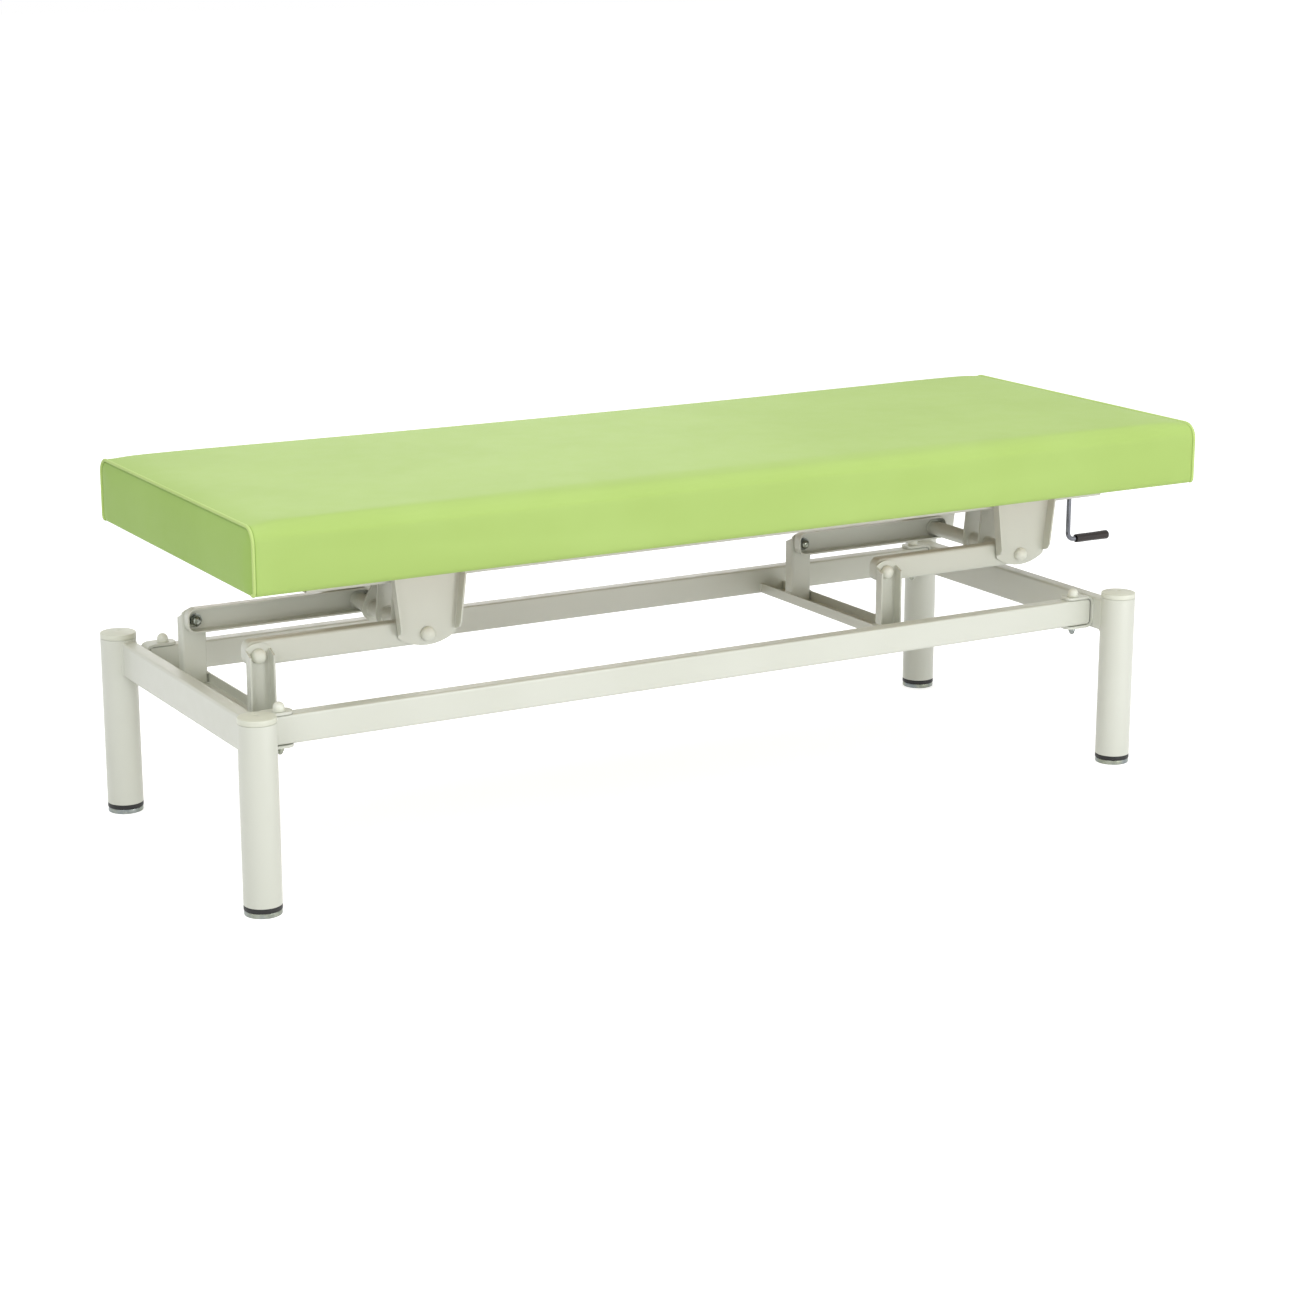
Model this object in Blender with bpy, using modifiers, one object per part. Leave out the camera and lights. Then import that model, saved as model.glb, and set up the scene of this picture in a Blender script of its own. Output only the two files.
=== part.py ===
"""Hand-cranked, height-adjustable examination table.

A welded base on four round legs carries two pairs of parallel lift links. The links carry an
upper frame with a padded top, so the top stays level as it rises. A crank at the foot end turns
a long screw under the top. Its nut swings a pair of levers on the head torsion tube, and a tie
rod takes that motion to the foot torsion tube.

X runs along the table with the crank at +X, Y runs across it, Z is up, and the floor is z = 0.
The origin is the middle of the four legs. All sizes are metres, shown at the lowest height.
"""

import math

import bmesh
import bpy
from mathutils import Matrix, Vector

for old in list(bpy.data.objects):
    bpy.data.objects.remove(old, do_unlink=True)

# Padded top
MATTRESS_LENGTH = 1.900
MATTRESS_WIDTH = 0.700
MATTRESS_THICKNESS = 0.116
MATTRESS_BOTTOM = 0.529
MATTRESS_OVERHANG = 0.068
MATTRESS_TOP_ROUND = 0.028
MATTRESS_FOOT_ROUND = 0.004
MATTRESS_CROWN = 0.004
MATTRESS_DRAW_IN = 0.0015
MATTRESS_LEAST_ROUND = 0.004
WELT_RADIUS = 0.0035
WELT_PROUD = 0.0012
END_PANEL_BULGE = 0.006
END_PANEL_FLAT = 0.036
BOARD_THICKNESS = 0.012
BOARD_INSET = 0.013

# Base
LEG_SPACING_LENGTH = 1.735
LEG_SPACING_WIDTH = 0.641
LEG_DIAMETER = 0.0635
LEG_WALL = 0.002
LEG_TOP = 0.320
CAP_RIM_HEIGHT = 0.0095
CAP_DOME = 0.0025
CAP_CROWN_SHARES = (0.5, 0.75)
CAP_EDGE_ROUND = 0.003
CAP_PLUG_DEPTH = 0.016
GLIDE_HEIGHT = 0.0085
GLIDE_EDGE = 0.0015
GLIDE_RIM_INSET = 0.0006
GLIDE_STEM_DIAMETER = 0.012
GLIDE_STEM_LENGTH = 0.040
INSERT_FLANGE = 0.0075
INSERT_PLUG = 0.030
END_RAIL_HEIGHT = 0.060
END_RAIL_WIDTH = 0.030
END_RAIL_BOTTOM = 0.254
END_RAIL_INBOARD = 0.0105
SIDE_RAIL_HEIGHT = 0.050
SIDE_RAIL_WIDTH = 0.030
SIDE_RAIL_BOTTOM = 0.262
SIDE_RAIL_INBOARD = 0.0575
SIDE_RAIL_END_ROUND = 0.0065
RAIL_WALL = 0.002
RAIL_CORNER = 0.005
CLEVIS_PLATE = 0.0045
CLEVIS_WIDTH = 0.032
CLEVIS_BOLT_REACH = 0.0315
CLEVIS_LENGTH = 0.058
CLEVIS_END_ROUND = 0.013
CLEVIS_OUTER_BEND = 0.012
CLEVIS_INNER_BEND = 0.0075
RAIL_END_GAP = 0.0025
RAIL_BOLT_DIAMETER = 0.006
RAIL_CAP_DIAMETER = 0.0195
RAIL_CAP_HEIGHT = 0.0135
RAIL_CAP_WASHER_DIAMETER = 0.0225
RAIL_CAP_WASHER = 0.0014
RAIL_NUT_WIDTH = 0.0115
RAIL_NUT_HEIGHT = 0.0075
RAIL_NUT_DOME = 0.006
TIE_FIT = 0.0008
TIE_HEIGHT = 0.020
TIE_PLATE = 0.003
TIE_BEND = 0.0045

# Lift linkage
HEAD_POST_INBOARD = 0.0765
POST_SPACING = 1.250
PIVOT_Z = 0.380
LINK_LENGTH = 0.308
LIFT_DEGREES = 52.0
WEB_OUTER_Y = 0.146
PRESSED_PLATE = 0.0032
FLANGE_DEPTH = 0.022
PRESSED_BEND = 0.005
POST_WIDTH = 0.045
POST_SHOULDER = 0.013
POST_CROWN = 0.022
POST_CORNER_DROP = 0.002
POST_FLANGE_TOP = 0.003
ARCH_RUN_OUT_SHARE = 1.1
LINK_HEIGHT = 0.044
LINK_RAISED = 0.003
LINK_END_REACH = 0.020
LINK_END_ROUND = 0.015
LINK_PLAY = 0.0008
HANGER_FOOT_WIDTH = 0.110
HANGER_FOOT_RISE = 0.018
HANGER_BELOW_PIVOT = 0.020
HANGER_SPREAD = 0.145
HANGER_FLANGE_RISE = 0.019
HANGER_CURVE_SHARE = 0.75
PIVOT_BOLT_DIAMETER = 0.012
PIVOT_CAP_DIAMETER = 0.0255
PIVOT_CAP_HEIGHT = 0.012
PIVOT_NUT_WIDTH = 0.019
PIVOT_NUT_HEIGHT = 0.006
PIVOT_NUT_DOME = 0.005
CAP_SKIRT_SHARE = 0.25
NUT_DOME_SHARE = 0.42
NUT_SHOULDER_SHARE = 0.7
TORSION_TUBE_DIAMETER = 0.029
TORSION_TUBE_WALL = 0.0025
TORSION_END_BUSH = 0.032
UPPER_BOLT_REACH = 0.022

# Drive under the top
DRIVE_Y = 0.040
DRIVE_HEIGHT = 0.092
DRIVE_LEVER_SPACING = 0.057
LEVER_PLATE = 0.0045
LEVER_HUB_ROUND = 0.024
TRUNNION_DIAMETER = 0.016
TRUNNION_PLAY = 0.0015
SLOT_EDGE = 0.010
TIE_ROD_RADIUS = 0.085
TIE_ROD_DIAMETER = 0.018
TIE_EYE_DIAMETER = 0.026
TIE_PIN_DIAMETER = 0.012
HEAD_FORK_SPACING = 0.061
FOOT_FORK_SPACING = 0.048
TIE_HOLE_EDGE = 0.0095
NUT_BLOCK_LENGTH = 0.040
NUT_BLOCK_HEIGHT = 0.034
NUT_BLOCK_EDGE = 0.002
SCREW_DIAMETER = 0.020
SHAFT_DIAMETER = 0.017
SCREW_THREAD_LENGTH = 0.200
TRUNNION_PROUD = 0.002
SHAFT_COLLAR_DIAMETER = 0.026
SHAFT_COLLAR_WIDTH = 0.008
BEARING_LENGTH = 0.030
BEARING_WIDTH = 0.050
BEARING_BELOW_AXIS = 0.020
CRANK_CLEAR_OF_TOP = 0.010
CRANK_RADIUS = 0.126
CRANK_ROD_DIAMETER = 0.010
CRANK_BEND = 0.014
CRANK_HUB_DIAMETER = 0.026
CRANK_HUB_LENGTH = 0.022
CRANK_END_OVER = 0.003
GRIP_LENGTH = 0.080
GRIP_DIAMETER = 0.018
GRIP_START = 0.019
GRIP_END_WALL = 0.004
GRIP_END_ROUND = 0.004
GRIP_WAIST = 0.0008

# Upper frame
BEAM_HEIGHT = 0.040
BEAM_WIDTH = 0.025
BEAM_BEYOND_HEAD_HANGER = 0.217
BEAM_FOOT_INBOARD = 0.058
CROSSBAR_WIDTH = 0.040
CROSSBAR_HEIGHT = 0.015
CROSSBAR_LENGTH = 0.560
HEAD_CROSSBAR_FROM_PIVOT = 0.138
FOOT_CROSSBAR_INBOARD = 0.119

# Fits: TOUCH parts pieces that lie against each other, RUN is radial play on a pin, and
# WELD_BITE is how far welded shapes run into each other
TOUCH = 0.0003
RUN = 0.0004
WELD_BITE = 0.001
OVERRUN = 0.010
SAME_POINT = 0.000001
ROUND_SIDES = 24
SMALL_SIDES = 12
BEND_STEPS = 2

# Places worked out from the sizes above
HALF_LENGTH = LEG_SPACING_LENGTH / 2
HALF_WIDTH = LEG_SPACING_WIDTH / 2
SIDE_RAIL_Y = HALF_WIDTH - SIDE_RAIL_INBOARD
LEG_RADIUS = LEG_DIAMETER / 2
LEG_BOTTOM = GLIDE_HEIGHT + INSERT_FLANGE + 2 * TOUCH
END_RAIL_X = HALF_LENGTH - END_RAIL_INBOARD
END_RAIL_FACE = END_RAIL_X - END_RAIL_WIDTH / 2
END_RAIL_Z = END_RAIL_BOTTOM + END_RAIL_HEIGHT / 2
SIDE_RAIL_Z = SIDE_RAIL_BOTTOM + SIDE_RAIL_HEIGHT / 2
CLEVIS_HEIGHT = SIDE_RAIL_HEIGHT + 2 * (CLEVIS_PLATE + 2 * TOUCH)
CLEVIS_WEB_X = END_RAIL_FACE
RAIL_BOLT_X = CLEVIS_WEB_X - CLEVIS_PLATE - CLEVIS_BOLT_REACH
RAIL_END_X = CLEVIS_WEB_X - CLEVIS_PLATE - RAIL_END_GAP
WEB_INNER_Y = WEB_OUTER_Y - PRESSED_PLATE
LINK_OUTER_Y = WEB_INNER_Y - LINK_PLAY
LINK_INNER_Y = LINK_OUTER_Y - PRESSED_PLATE
TORSION_HALF = LINK_INNER_Y - TOUCH
HEAD_POST_X = -HALF_LENGTH + HEAD_POST_INBOARD
FOOT_POST_X = HEAD_POST_X + POST_SPACING
HEAD_HANGER_X = HEAD_POST_X + LINK_LENGTH
FOOT_HANGER_X = FOOT_POST_X + LINK_LENGTH
CROSSBAR_BOTTOM = MATTRESS_BOTTOM - TOUCH - CROSSBAR_HEIGHT
BEAM_TOP = CROSSBAR_BOTTOM - TOUCH
BEAM_OUTER_Y = WEB_INNER_Y - TOUCH
DRIVE_Z = PIVOT_Z + DRIVE_HEIGHT
TIE_ROD_Y = DRIVE_Y - (DRIVE_LEVER_SPACING + HEAD_FORK_SPACING) / 2
TIE_WIDTH = POST_WIDTH + 2 * (TIE_PLATE + TIE_FIT)
HALF_LIFT = math.radians(LIFT_DEGREES) / 2
SLOT_ANGLE = math.pi / 2 - HALF_LIFT
NUT_START = DRIVE_HEIGHT * math.tan(HALF_LIFT)
SLOT_OUTER = DRIVE_HEIGHT / math.cos(HALF_LIFT)
HALF_SLOT = TRUNNION_DIAMETER / 2 + TRUNNION_PLAY
MATTRESS_HEAD_X = MATTRESS_OVERHANG - MATTRESS_LENGTH / 2
MATTRESS_FOOT_X = MATTRESS_OVERHANG + MATTRESS_LENGTH / 2
BEAM_HEAD_X = HEAD_HANGER_X - BEAM_BEYOND_HEAD_HANGER
BEAM_FOOT_X = MATTRESS_FOOT_X - BEAM_FOOT_INBOARD
CRANK_PLANE_X = MATTRESS_FOOT_X + CRANK_CLEAR_OF_TOP

table = bpy.data.collections.new("examination_table")
cutters = bpy.data.collections.new("cutters")
for group in (table, cutters):
    bpy.context.scene.collection.children.link(group)


# Materials

def linear(value):
    """One sRGB channel, 0 to 255, as the linear value that a material takes."""
    share = value / 255
    return share / 12.92 if share <= 0.04045 else ((share + 0.055) / 1.055) ** 2.4


def finish(name, colour, roughness, metallic=0.0):
    made = bpy.data.materials.new(name)
    made.use_nodes = True
    shader = made.node_tree.nodes["Principled BSDF"]
    shader.inputs["Base Color"].default_value = (*(linear(value) for value in colour), 1.0)
    shader.inputs["Roughness"].default_value = roughness
    shader.inputs["Metallic"].default_value = metallic
    made.diffuse_color = shader.inputs["Base Color"].default_value
    return made


PAINT = finish("ivory_powder_coat", (222, 222, 208), 0.45)
VINYL = finish("green_vinyl", (186, 218, 130), 0.5)
ZINC = finish("zinc_plate", (190, 195, 200), 0.3, 1.0)
CHROME = finish("chrome", (205, 207, 212), 0.12, 1.0)
STEEL = finish("machined_steel", (150, 150, 152), 0.35, 1.0)
BLACK = finish("black_plastic", (28, 28, 28), 0.5)
WHITE = finish("white_plastic", (232, 233, 222), 0.4)
BROWN = finish("brown_plastic", (58, 44, 38), 0.45)
WOOD = finish("plywood", (190, 160, 118), 0.7)


# Outlines: lists of (u, v) points, counter-clockwise

def arc(centre, radius, start, end, steps):
    """Points on an arc, angles in degrees, both ends included."""
    angles = [math.radians(start + (end - start) * i / steps) for i in range(steps + 1)]
    return [(centre[0] + radius * math.cos(a), centre[1] + radius * math.sin(a)) for a in angles]


def rounded_box(centre, width, height, radius, steps=BEND_STEPS):
    """A rectangle with round corners."""
    u, v = width / 2 - radius, height / 2 - radius
    points = []
    for sign_u, sign_v, start in ((1, 1, 0), (-1, 1, 90), (-1, -1, 180), (1, -1, 270)):
        corner = (centre[0] + sign_u * u, centre[1] + sign_v * v)
        points += arc(corner, radius, start, start + 90, steps)
    return points


def hull_of_circles(circles, steps):
    """The outline of a belt drawn tight round some circles, each (centre, radius)."""
    points = sorted(
        point
        for centre, radius in circles
        for point in arc(centre, radius, 0, 360, steps)[:-1]
    )

    def chain(ordered):
        kept = []
        for point in ordered:
            while len(kept) > 1 and left_bend(kept[-2], kept[-1], point) <= 0:
                kept.pop()
            kept.append(point)
        return kept[:-1]

    return chain(points) + chain(points[::-1])


def left_bend(a, b, c):
    """Positive where the path a, b, c bends to the left."""
    return (b[0] - a[0]) * (c[1] - a[1]) - (b[1] - a[1]) * (c[0] - a[0])


def beyond(value):
    """A size carried past the piece that it trims."""
    return value + math.copysign(OVERRUN, value)


# Solids

def mesh_from(bm, name):
    """Closes a bmesh into a mesh with its faces pointing out."""
    bmesh.ops.recalc_face_normals(bm, faces=bm.faces)
    mesh = bpy.data.meshes.new(name)
    bm.to_mesh(mesh)
    bm.free()
    return mesh


def baked(obj):
    """The evaluated mesh of a helper object with its doubles merged; the helper is removed."""
    bpy.context.view_layer.update()
    graph = bpy.context.evaluated_depsgraph_get()
    mesh = bpy.data.meshes.new_from_object(obj.evaluated_get(graph))
    mesh.transform(obj.matrix_world)
    bm = bmesh.new()
    bm.from_mesh(mesh)
    bmesh.ops.remove_doubles(bm, verts=bm.verts, dist=SAME_POINT)
    bmesh.ops.recalc_face_normals(bm, faces=bm.faces)
    bm.to_mesh(mesh)
    bm.free()
    bpy.data.objects.remove(obj, do_unlink=True)
    return mesh


AXES = {"X": Vector((1, 0, 0)), "Y": Vector((0, 1, 0)), "Z": Vector((0, 0, 1))}
# Turns a drawing on the XY plane so that its (u, v) lie on (y, z), (x, z) or (x, y)
DRAWN_TURNS = {
    "X": Matrix.Rotation(math.pi / 2, 4, "Z") @ Matrix.Rotation(math.pi / 2, 4, "X"),
    "Y": Matrix.Rotation(math.pi / 2, 4, "X"),
    "Z": Matrix.Identity(4),
}
# Turns something that stands along Z so that it lies along X, Y or Z
BAR_TURNS = {
    "X": Matrix.Rotation(math.pi / 2, 4, "Y"),
    "Y": Matrix.Rotation(-math.pi / 2, 4, "X"),
    "Z": Matrix.Identity(4),
}


def plate(name, outlines, axis, start, end):
    """Flat outlines, filled and thick from start to end; an outline inside another is a hole."""
    curve = bpy.data.curves.new(name, "CURVE")
    curve.dimensions = "2D"
    curve.fill_mode = "BOTH"
    curve.extrude = abs(end - start) / 2
    for outline in outlines:
        line = curve.splines.new("POLY")
        line.points.add(len(outline) - 1)
        for point, (u, v) in zip(line.points, outline):
            point.co = (u, v, 0, 1)
        line.use_cyclic_u = True
    drawn = bpy.data.objects.new(name, curve)
    cutters.objects.link(drawn)
    mesh = baked(drawn)
    mesh.transform(Matrix.Translation(AXES[axis] * (start + end) / 2) @ DRAWN_TURNS[axis])
    return mesh


def cylinder(name, radius, axis, start, end, centre=(0, 0), sides=ROUND_SIDES):
    """A round bar or drill along an axis; centre is its place on the other two axes."""
    bm = bmesh.new()
    bmesh.ops.create_cone(
        bm, cap_ends=True, segments=sides, radius1=radius, radius2=radius, depth=abs(end - start)
    )
    mesh = mesh_from(bm, name)
    place = DRAWN_TURNS[axis] @ Vector((*centre, 0)) + AXES[axis] * (start + end) / 2
    mesh.transform(Matrix.Translation(place) @ BAR_TURNS[axis])
    return mesh


def loft(name, rings):
    """Skins a row of unlike sections that have equal point counts, and caps the two ends."""
    bm = bmesh.new()
    loops = [[bm.verts.new(point) for point in ring] for ring in rings]
    for lower, upper in zip(loops, loops[1:]):
        for i in range(len(lower)):
            j = (i + 1) % len(lower)
            bm.faces.new((lower[i], lower[j], upper[j], upper[i]))
    bm.faces.new(loops[0])
    bm.faces.new(loops[-1])
    return mesh_from(bm, name)


def turned(name, profile, axis="Z", closed=False, sides=ROUND_SIDES):
    """A profile of (radius, height) points, outer side from top to bottom, spun by a Screw."""
    mesh = bpy.data.meshes.new(name)
    edges = [(i, i + 1) for i in range(len(profile) - 1)]
    if closed:
        edges.append((len(profile) - 1, 0))
    mesh.from_pydata([(radius, 0, height) for radius, height in profile], edges, [])
    spun = bpy.data.objects.new(name, mesh)
    cutters.objects.link(spun)
    screw = spun.modifiers.new("turn", "SCREW")
    screw.axis = "Z"
    screw.steps = sides
    screw.render_steps = sides
    screw.use_merge_vertices = True
    screw.merge_threshold = SAME_POINT
    solid = baked(spun)
    solid.transform(BAR_TURNS[axis])
    return solid


def combined(name, base, operation, tools):
    """The base mesh with each tool mesh cut away, added or kept in common."""
    body = bpy.data.objects.new(name, base)
    cutters.objects.link(body)
    helpers = []
    for tool in tools:
        helper = bpy.data.objects.new(name + "_tool", tool)
        helper.hide_render = True
        helper.display_type = "WIRE"
        cutters.objects.link(helper)
        step = body.modifiers.new("shape", "BOOLEAN")
        step.operation = operation
        step.solver = "EXACT"
        step.object = helper
        helpers.append(helper)
    result = baked(body)
    for helper in helpers:
        bpy.data.objects.remove(helper, do_unlink=True)
    return result


def moved(mesh, offset):
    """A shifted copy of a mesh."""
    copy = mesh.copy()
    copy.transform(Matrix.Translation(offset))
    return copy


def axis_point(name, place, parent=None):
    """An empty on a joint's axis, which carries the pieces that turn or slide there."""
    empty = bpy.data.objects.new(name, None)
    empty.empty_display_size = LEG_DIAMETER
    table.objects.link(empty)
    empty["place"] = place
    if parent:
        empty.parent = parent
    start = Vector(parent["place"]) if parent else Vector((0, 0, 0))
    empty.location = Vector(place) - start
    return empty


def node(name, mesh, material, carrier, place=(0, 0, 0), turn=(0, 0, 0), smooth=30.0):
    """One sub-part: its mesh set at a place in the world, and carried by an axis empty."""
    made = bpy.data.objects.new(name, mesh)
    table.objects.link(made)
    made.parent = carrier
    made.location = Vector(place) - Vector(carrier["place"])
    made.rotation_euler = turn
    if not mesh.materials:
        mesh.materials.append(material)
        mesh.shade_smooth()
        mesh.set_sharp_from_angle(angle=math.radians(smooth))
    return made


SIDES = (("front", -1), ("back", 1))
ENDS = (("head", -1), ("foot", 1))
HALF_TURN = (0, 0, math.pi)
NO_TURN = (0, 0, 0)
FACING = {-1: (math.pi / 2, 0, 0), 1: (-math.pi / 2, 0, 0)}
POST_X = {"head": HEAD_POST_X, "foot": FOOT_POST_X}
HANGER_X = {"head": HEAD_HANGER_X, "foot": FOOT_HANGER_X}

base = axis_point("base_origin", (0, 0, 0))
links_axis = {end: axis_point(f"links_{end}_axis", (POST_X[end], 0, PIVOT_Z), base) for end, _ in ENDS}
top_axis = axis_point("top_axis", (HEAD_HANGER_X, 0, PIVOT_Z), links_axis["head"])
tie_place = (HEAD_HANGER_X, TIE_ROD_Y, PIVOT_Z + TIE_ROD_RADIUS)
tie_axis = axis_point("tie_rod_axis", tie_place, links_axis["head"])
nut_axis = axis_point("drive_nut_axis", (HEAD_HANGER_X + NUT_START, DRIVE_Y, DRIVE_Z), top_axis)
crank_axis = axis_point("crank_axis", (CRANK_PLANE_X, DRIVE_Y, DRIVE_Z), top_axis)
grip_place = (CRANK_PLANE_X + GRIP_START, DRIVE_Y, DRIVE_Z - CRANK_RADIUS)
grip_axis = axis_point("grip_axis", grip_place, crank_axis)


# Legs, with their caps, foot inserts and levelling glides

leg_mesh = turned(
    "leg",
    [
        (LEG_RADIUS, LEG_TOP),
        (LEG_RADIUS, LEG_BOTTOM),
        (LEG_RADIUS - LEG_WALL, LEG_BOTTOM),
        (LEG_RADIUS - LEG_WALL, LEG_TOP),
    ],
    closed=True,
)
plug_radius = LEG_RADIUS - LEG_WALL - TOUCH
cap_base = LEG_TOP + TOUCH
cap_top = cap_base + CAP_RIM_HEIGHT
cap_round = arc(
    (LEG_RADIUS - CAP_EDGE_ROUND, cap_top - CAP_EDGE_ROUND), CAP_EDGE_ROUND, 90, 0, BEND_STEPS
)
crown_out, crown_up = CAP_CROWN_SHARES
cap_mesh = turned(
    "leg_cap",
    [(0, cap_top + CAP_DOME), (crown_out * LEG_RADIUS, cap_top + crown_up * CAP_DOME)]
    + cap_round
    + [
        (LEG_RADIUS, cap_base),
        (plug_radius, cap_base),
        (plug_radius, cap_base - CAP_PLUG_DEPTH),
        (0, cap_base - CAP_PLUG_DEPTH),
    ],
)
stem_bore = GLIDE_STEM_DIAMETER / 2 + TOUCH
insert_bottom = GLIDE_HEIGHT + TOUCH
insert_mesh = turned(
    "foot_insert",
    [
        (plug_radius, LEG_BOTTOM + INSERT_PLUG),
        (plug_radius, LEG_BOTTOM - TOUCH),
        (LEG_RADIUS, LEG_BOTTOM - TOUCH),
        (LEG_RADIUS, insert_bottom),
        (stem_bore, insert_bottom),
        (stem_bore, LEG_BOTTOM + INSERT_PLUG),
    ],
    closed=True,
)
glide_radius = LEG_RADIUS - GLIDE_RIM_INSET
glide_mesh = turned(
    "foot_glide",
    [
        (0, GLIDE_HEIGHT + GLIDE_STEM_LENGTH),
        (GLIDE_STEM_DIAMETER / 2, GLIDE_HEIGHT + GLIDE_STEM_LENGTH),
        (GLIDE_STEM_DIAMETER / 2, GLIDE_HEIGHT),
        (glide_radius - GLIDE_EDGE, GLIDE_HEIGHT),
        (glide_radius, GLIDE_HEIGHT - GLIDE_EDGE),
        (glide_radius, GLIDE_EDGE),
        (glide_radius - GLIDE_EDGE, 0),
        (0, 0),
    ],
)
for end, sign_x in ENDS:
    for side, sign_y in SIDES:
        place = (sign_x * HALF_LENGTH, sign_y * HALF_WIDTH, 0)
        corner = f"{end}_{side}"
        node(f"leg_{corner}", leg_mesh, PAINT, base, place)
        node(f"leg_cap_{corner}", cap_mesh, WHITE, base, place)
        node(f"foot_insert_{corner}", insert_mesh, BLACK, base, place)
        glide_axis = axis_point(f"foot_glide_{corner}_axis", place, base)
        node(f"foot_glide_{corner}", glide_mesh, ZINC, glide_axis, place)


# End rails: a tube coped to the two legs, with the welded clevises that grip the side rails

def rail_section(width, height, centre):
    """The outer and inner outline of a rectangular tube with round corners."""
    outer = rounded_box(centre, width, height, RAIL_CORNER)
    inner = rounded_box(
        centre, width - 2 * RAIL_WALL, height - 2 * RAIL_WALL, RAIL_CORNER - RAIL_WALL
    )
    return [outer, inner]


clevis_half = CLEVIS_HEIGHT / 2
clevis_inner = clevis_half - CLEVIS_PLATE
clevis_reach = CLEVIS_PLATE + CLEVIS_BOLT_REACH
clevis_back = -END_RAIL_WIDTH / 2
half_clevis = CLEVIS_WIDTH / 2
outer_bend, inner_bend = CLEVIS_OUTER_BEND, CLEVIS_INNER_BEND
clevis_open = clevis_back - CLEVIS_LENGTH - OVERRUN
outer_centre = (clevis_back - outer_bend, clevis_half - outer_bend)
inner_centre = (clevis_back - CLEVIS_PLATE - inner_bend, clevis_inner - inner_bend)
weld_half = outer_centre[1] / 2
clevis_side = (
    [(clevis_open, -clevis_half)]
    + arc((outer_centre[0], -outer_centre[1]), outer_bend, 270, 345, BEND_STEPS)
    + [(clevis_back + WELD_BITE, -weld_half), (clevis_back + WELD_BITE, weld_half)]
    + arc(outer_centre, outer_bend, 15, 90, BEND_STEPS)
    + [(clevis_open, clevis_half), (clevis_open, clevis_inner)]
    + arc(inner_centre, inner_bend, 90, 0, BEND_STEPS)
    + arc((inner_centre[0], -inner_centre[1]), inner_bend, 0, -90, BEND_STEPS)
    + [(clevis_open, -clevis_inner)]
)
end_centre = (clevis_back - CLEVIS_LENGTH + CLEVIS_END_ROUND, half_clevis - CLEVIS_END_ROUND)
clevis_plan = [(OVERRUN, -half_clevis), (OVERRUN, half_clevis)]
clevis_plan += arc(end_centre, CLEVIS_END_ROUND, 90, 180, 2 * BEND_STEPS)
clevis_plan += arc((end_centre[0], -end_centre[1]), CLEVIS_END_ROUND, 180, 270, 2 * BEND_STEPS)
clevis_mesh = combined(
    "clevis",
    plate("clevis", [clevis_side], "Y", -CLEVIS_WIDTH, CLEVIS_WIDTH),
    "INTERSECT",
    [plate("clevis_plan", [clevis_plan], "Z", -CLEVIS_HEIGHT, CLEVIS_HEIGHT)],
)
rail_bolt_hole = RAIL_BOLT_DIAMETER / 2 + TOUCH
clevis_drills = [
    cylinder(
        "bolt_hole", rail_bolt_hole, "Z", SIDE_RAIL_Z - CLEVIS_HEIGHT, SIDE_RAIL_Z + CLEVIS_HEIGHT,
        (clevis_back - clevis_reach, sign * SIDE_RAIL_Y), SMALL_SIDES,
    )
    for sign in (-1, 1)
]
leg_drills = [
    cylinder(
        "cope", LEG_RADIUS + TOUCH, "Z", END_RAIL_BOTTOM - OVERRUN, LEG_TOP + OVERRUN,
        (END_RAIL_INBOARD, sign * HALF_WIDTH),
    )
    for sign in (-1, 1)
]
end_rail_mesh = combined(
    "end_rail",
    plate(
        "end_rail", rail_section(END_RAIL_WIDTH, END_RAIL_HEIGHT, (0, END_RAIL_Z)), "Y",
        -HALF_WIDTH, HALF_WIDTH,
    ),
    "UNION",
    [moved(clevis_mesh, (0, sign * SIDE_RAIL_Y, SIDE_RAIL_Z)) for sign in (-1, 1)],
)
end_rail_mesh = combined("end_rail", end_rail_mesh, "DIFFERENCE", leg_drills + clevis_drills)
for end, sign_x in ENDS:
    turn = NO_TURN if sign_x > 0 else HALF_TURN
    node(f"end_rail_{end}", end_rail_mesh, PAINT, base, (sign_x * END_RAIL_X, 0, 0), turn)


# Side rails, with rounded ends and drilled for the bolts there

bolt_drills = [
    cylinder(
        "rail_hole", rail_bolt_hole, "Z", SIDE_RAIL_BOTTOM - OVERRUN,
        SIDE_RAIL_BOTTOM + SIDE_RAIL_HEIGHT + OVERRUN, (sign * RAIL_BOLT_X, 0), SMALL_SIDES,
    )
    for sign in (-1, 1)
]
rail_ends = rounded_box(
    (0, SIDE_RAIL_Z), 2 * RAIL_END_X, SIDE_RAIL_HEIGHT + 2 * TOUCH, SIDE_RAIL_END_ROUND
)
side_rail_mesh = combined(
    "side_rail",
    plate(
        "side_rail", rail_section(SIDE_RAIL_WIDTH, SIDE_RAIL_HEIGHT, (0, SIDE_RAIL_Z)), "X",
        beyond(-RAIL_END_X), beyond(RAIL_END_X),
    ),
    "INTERSECT",
    [plate("rail_ends", [rail_ends], "Y", -SIDE_RAIL_WIDTH, SIDE_RAIL_WIDTH)],
)
side_rail_mesh = combined("side_rail", side_rail_mesh, "DIFFERENCE", bolt_drills)
for side, sign_y in SIDES:
    node(f"side_rail_{side}", side_rail_mesh, PAINT, base, (0, sign_y * SIDE_RAIL_Y, 0))


# Bolts, each with its domed cap over the head and, where it shows, a domed nut at the other end

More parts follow.
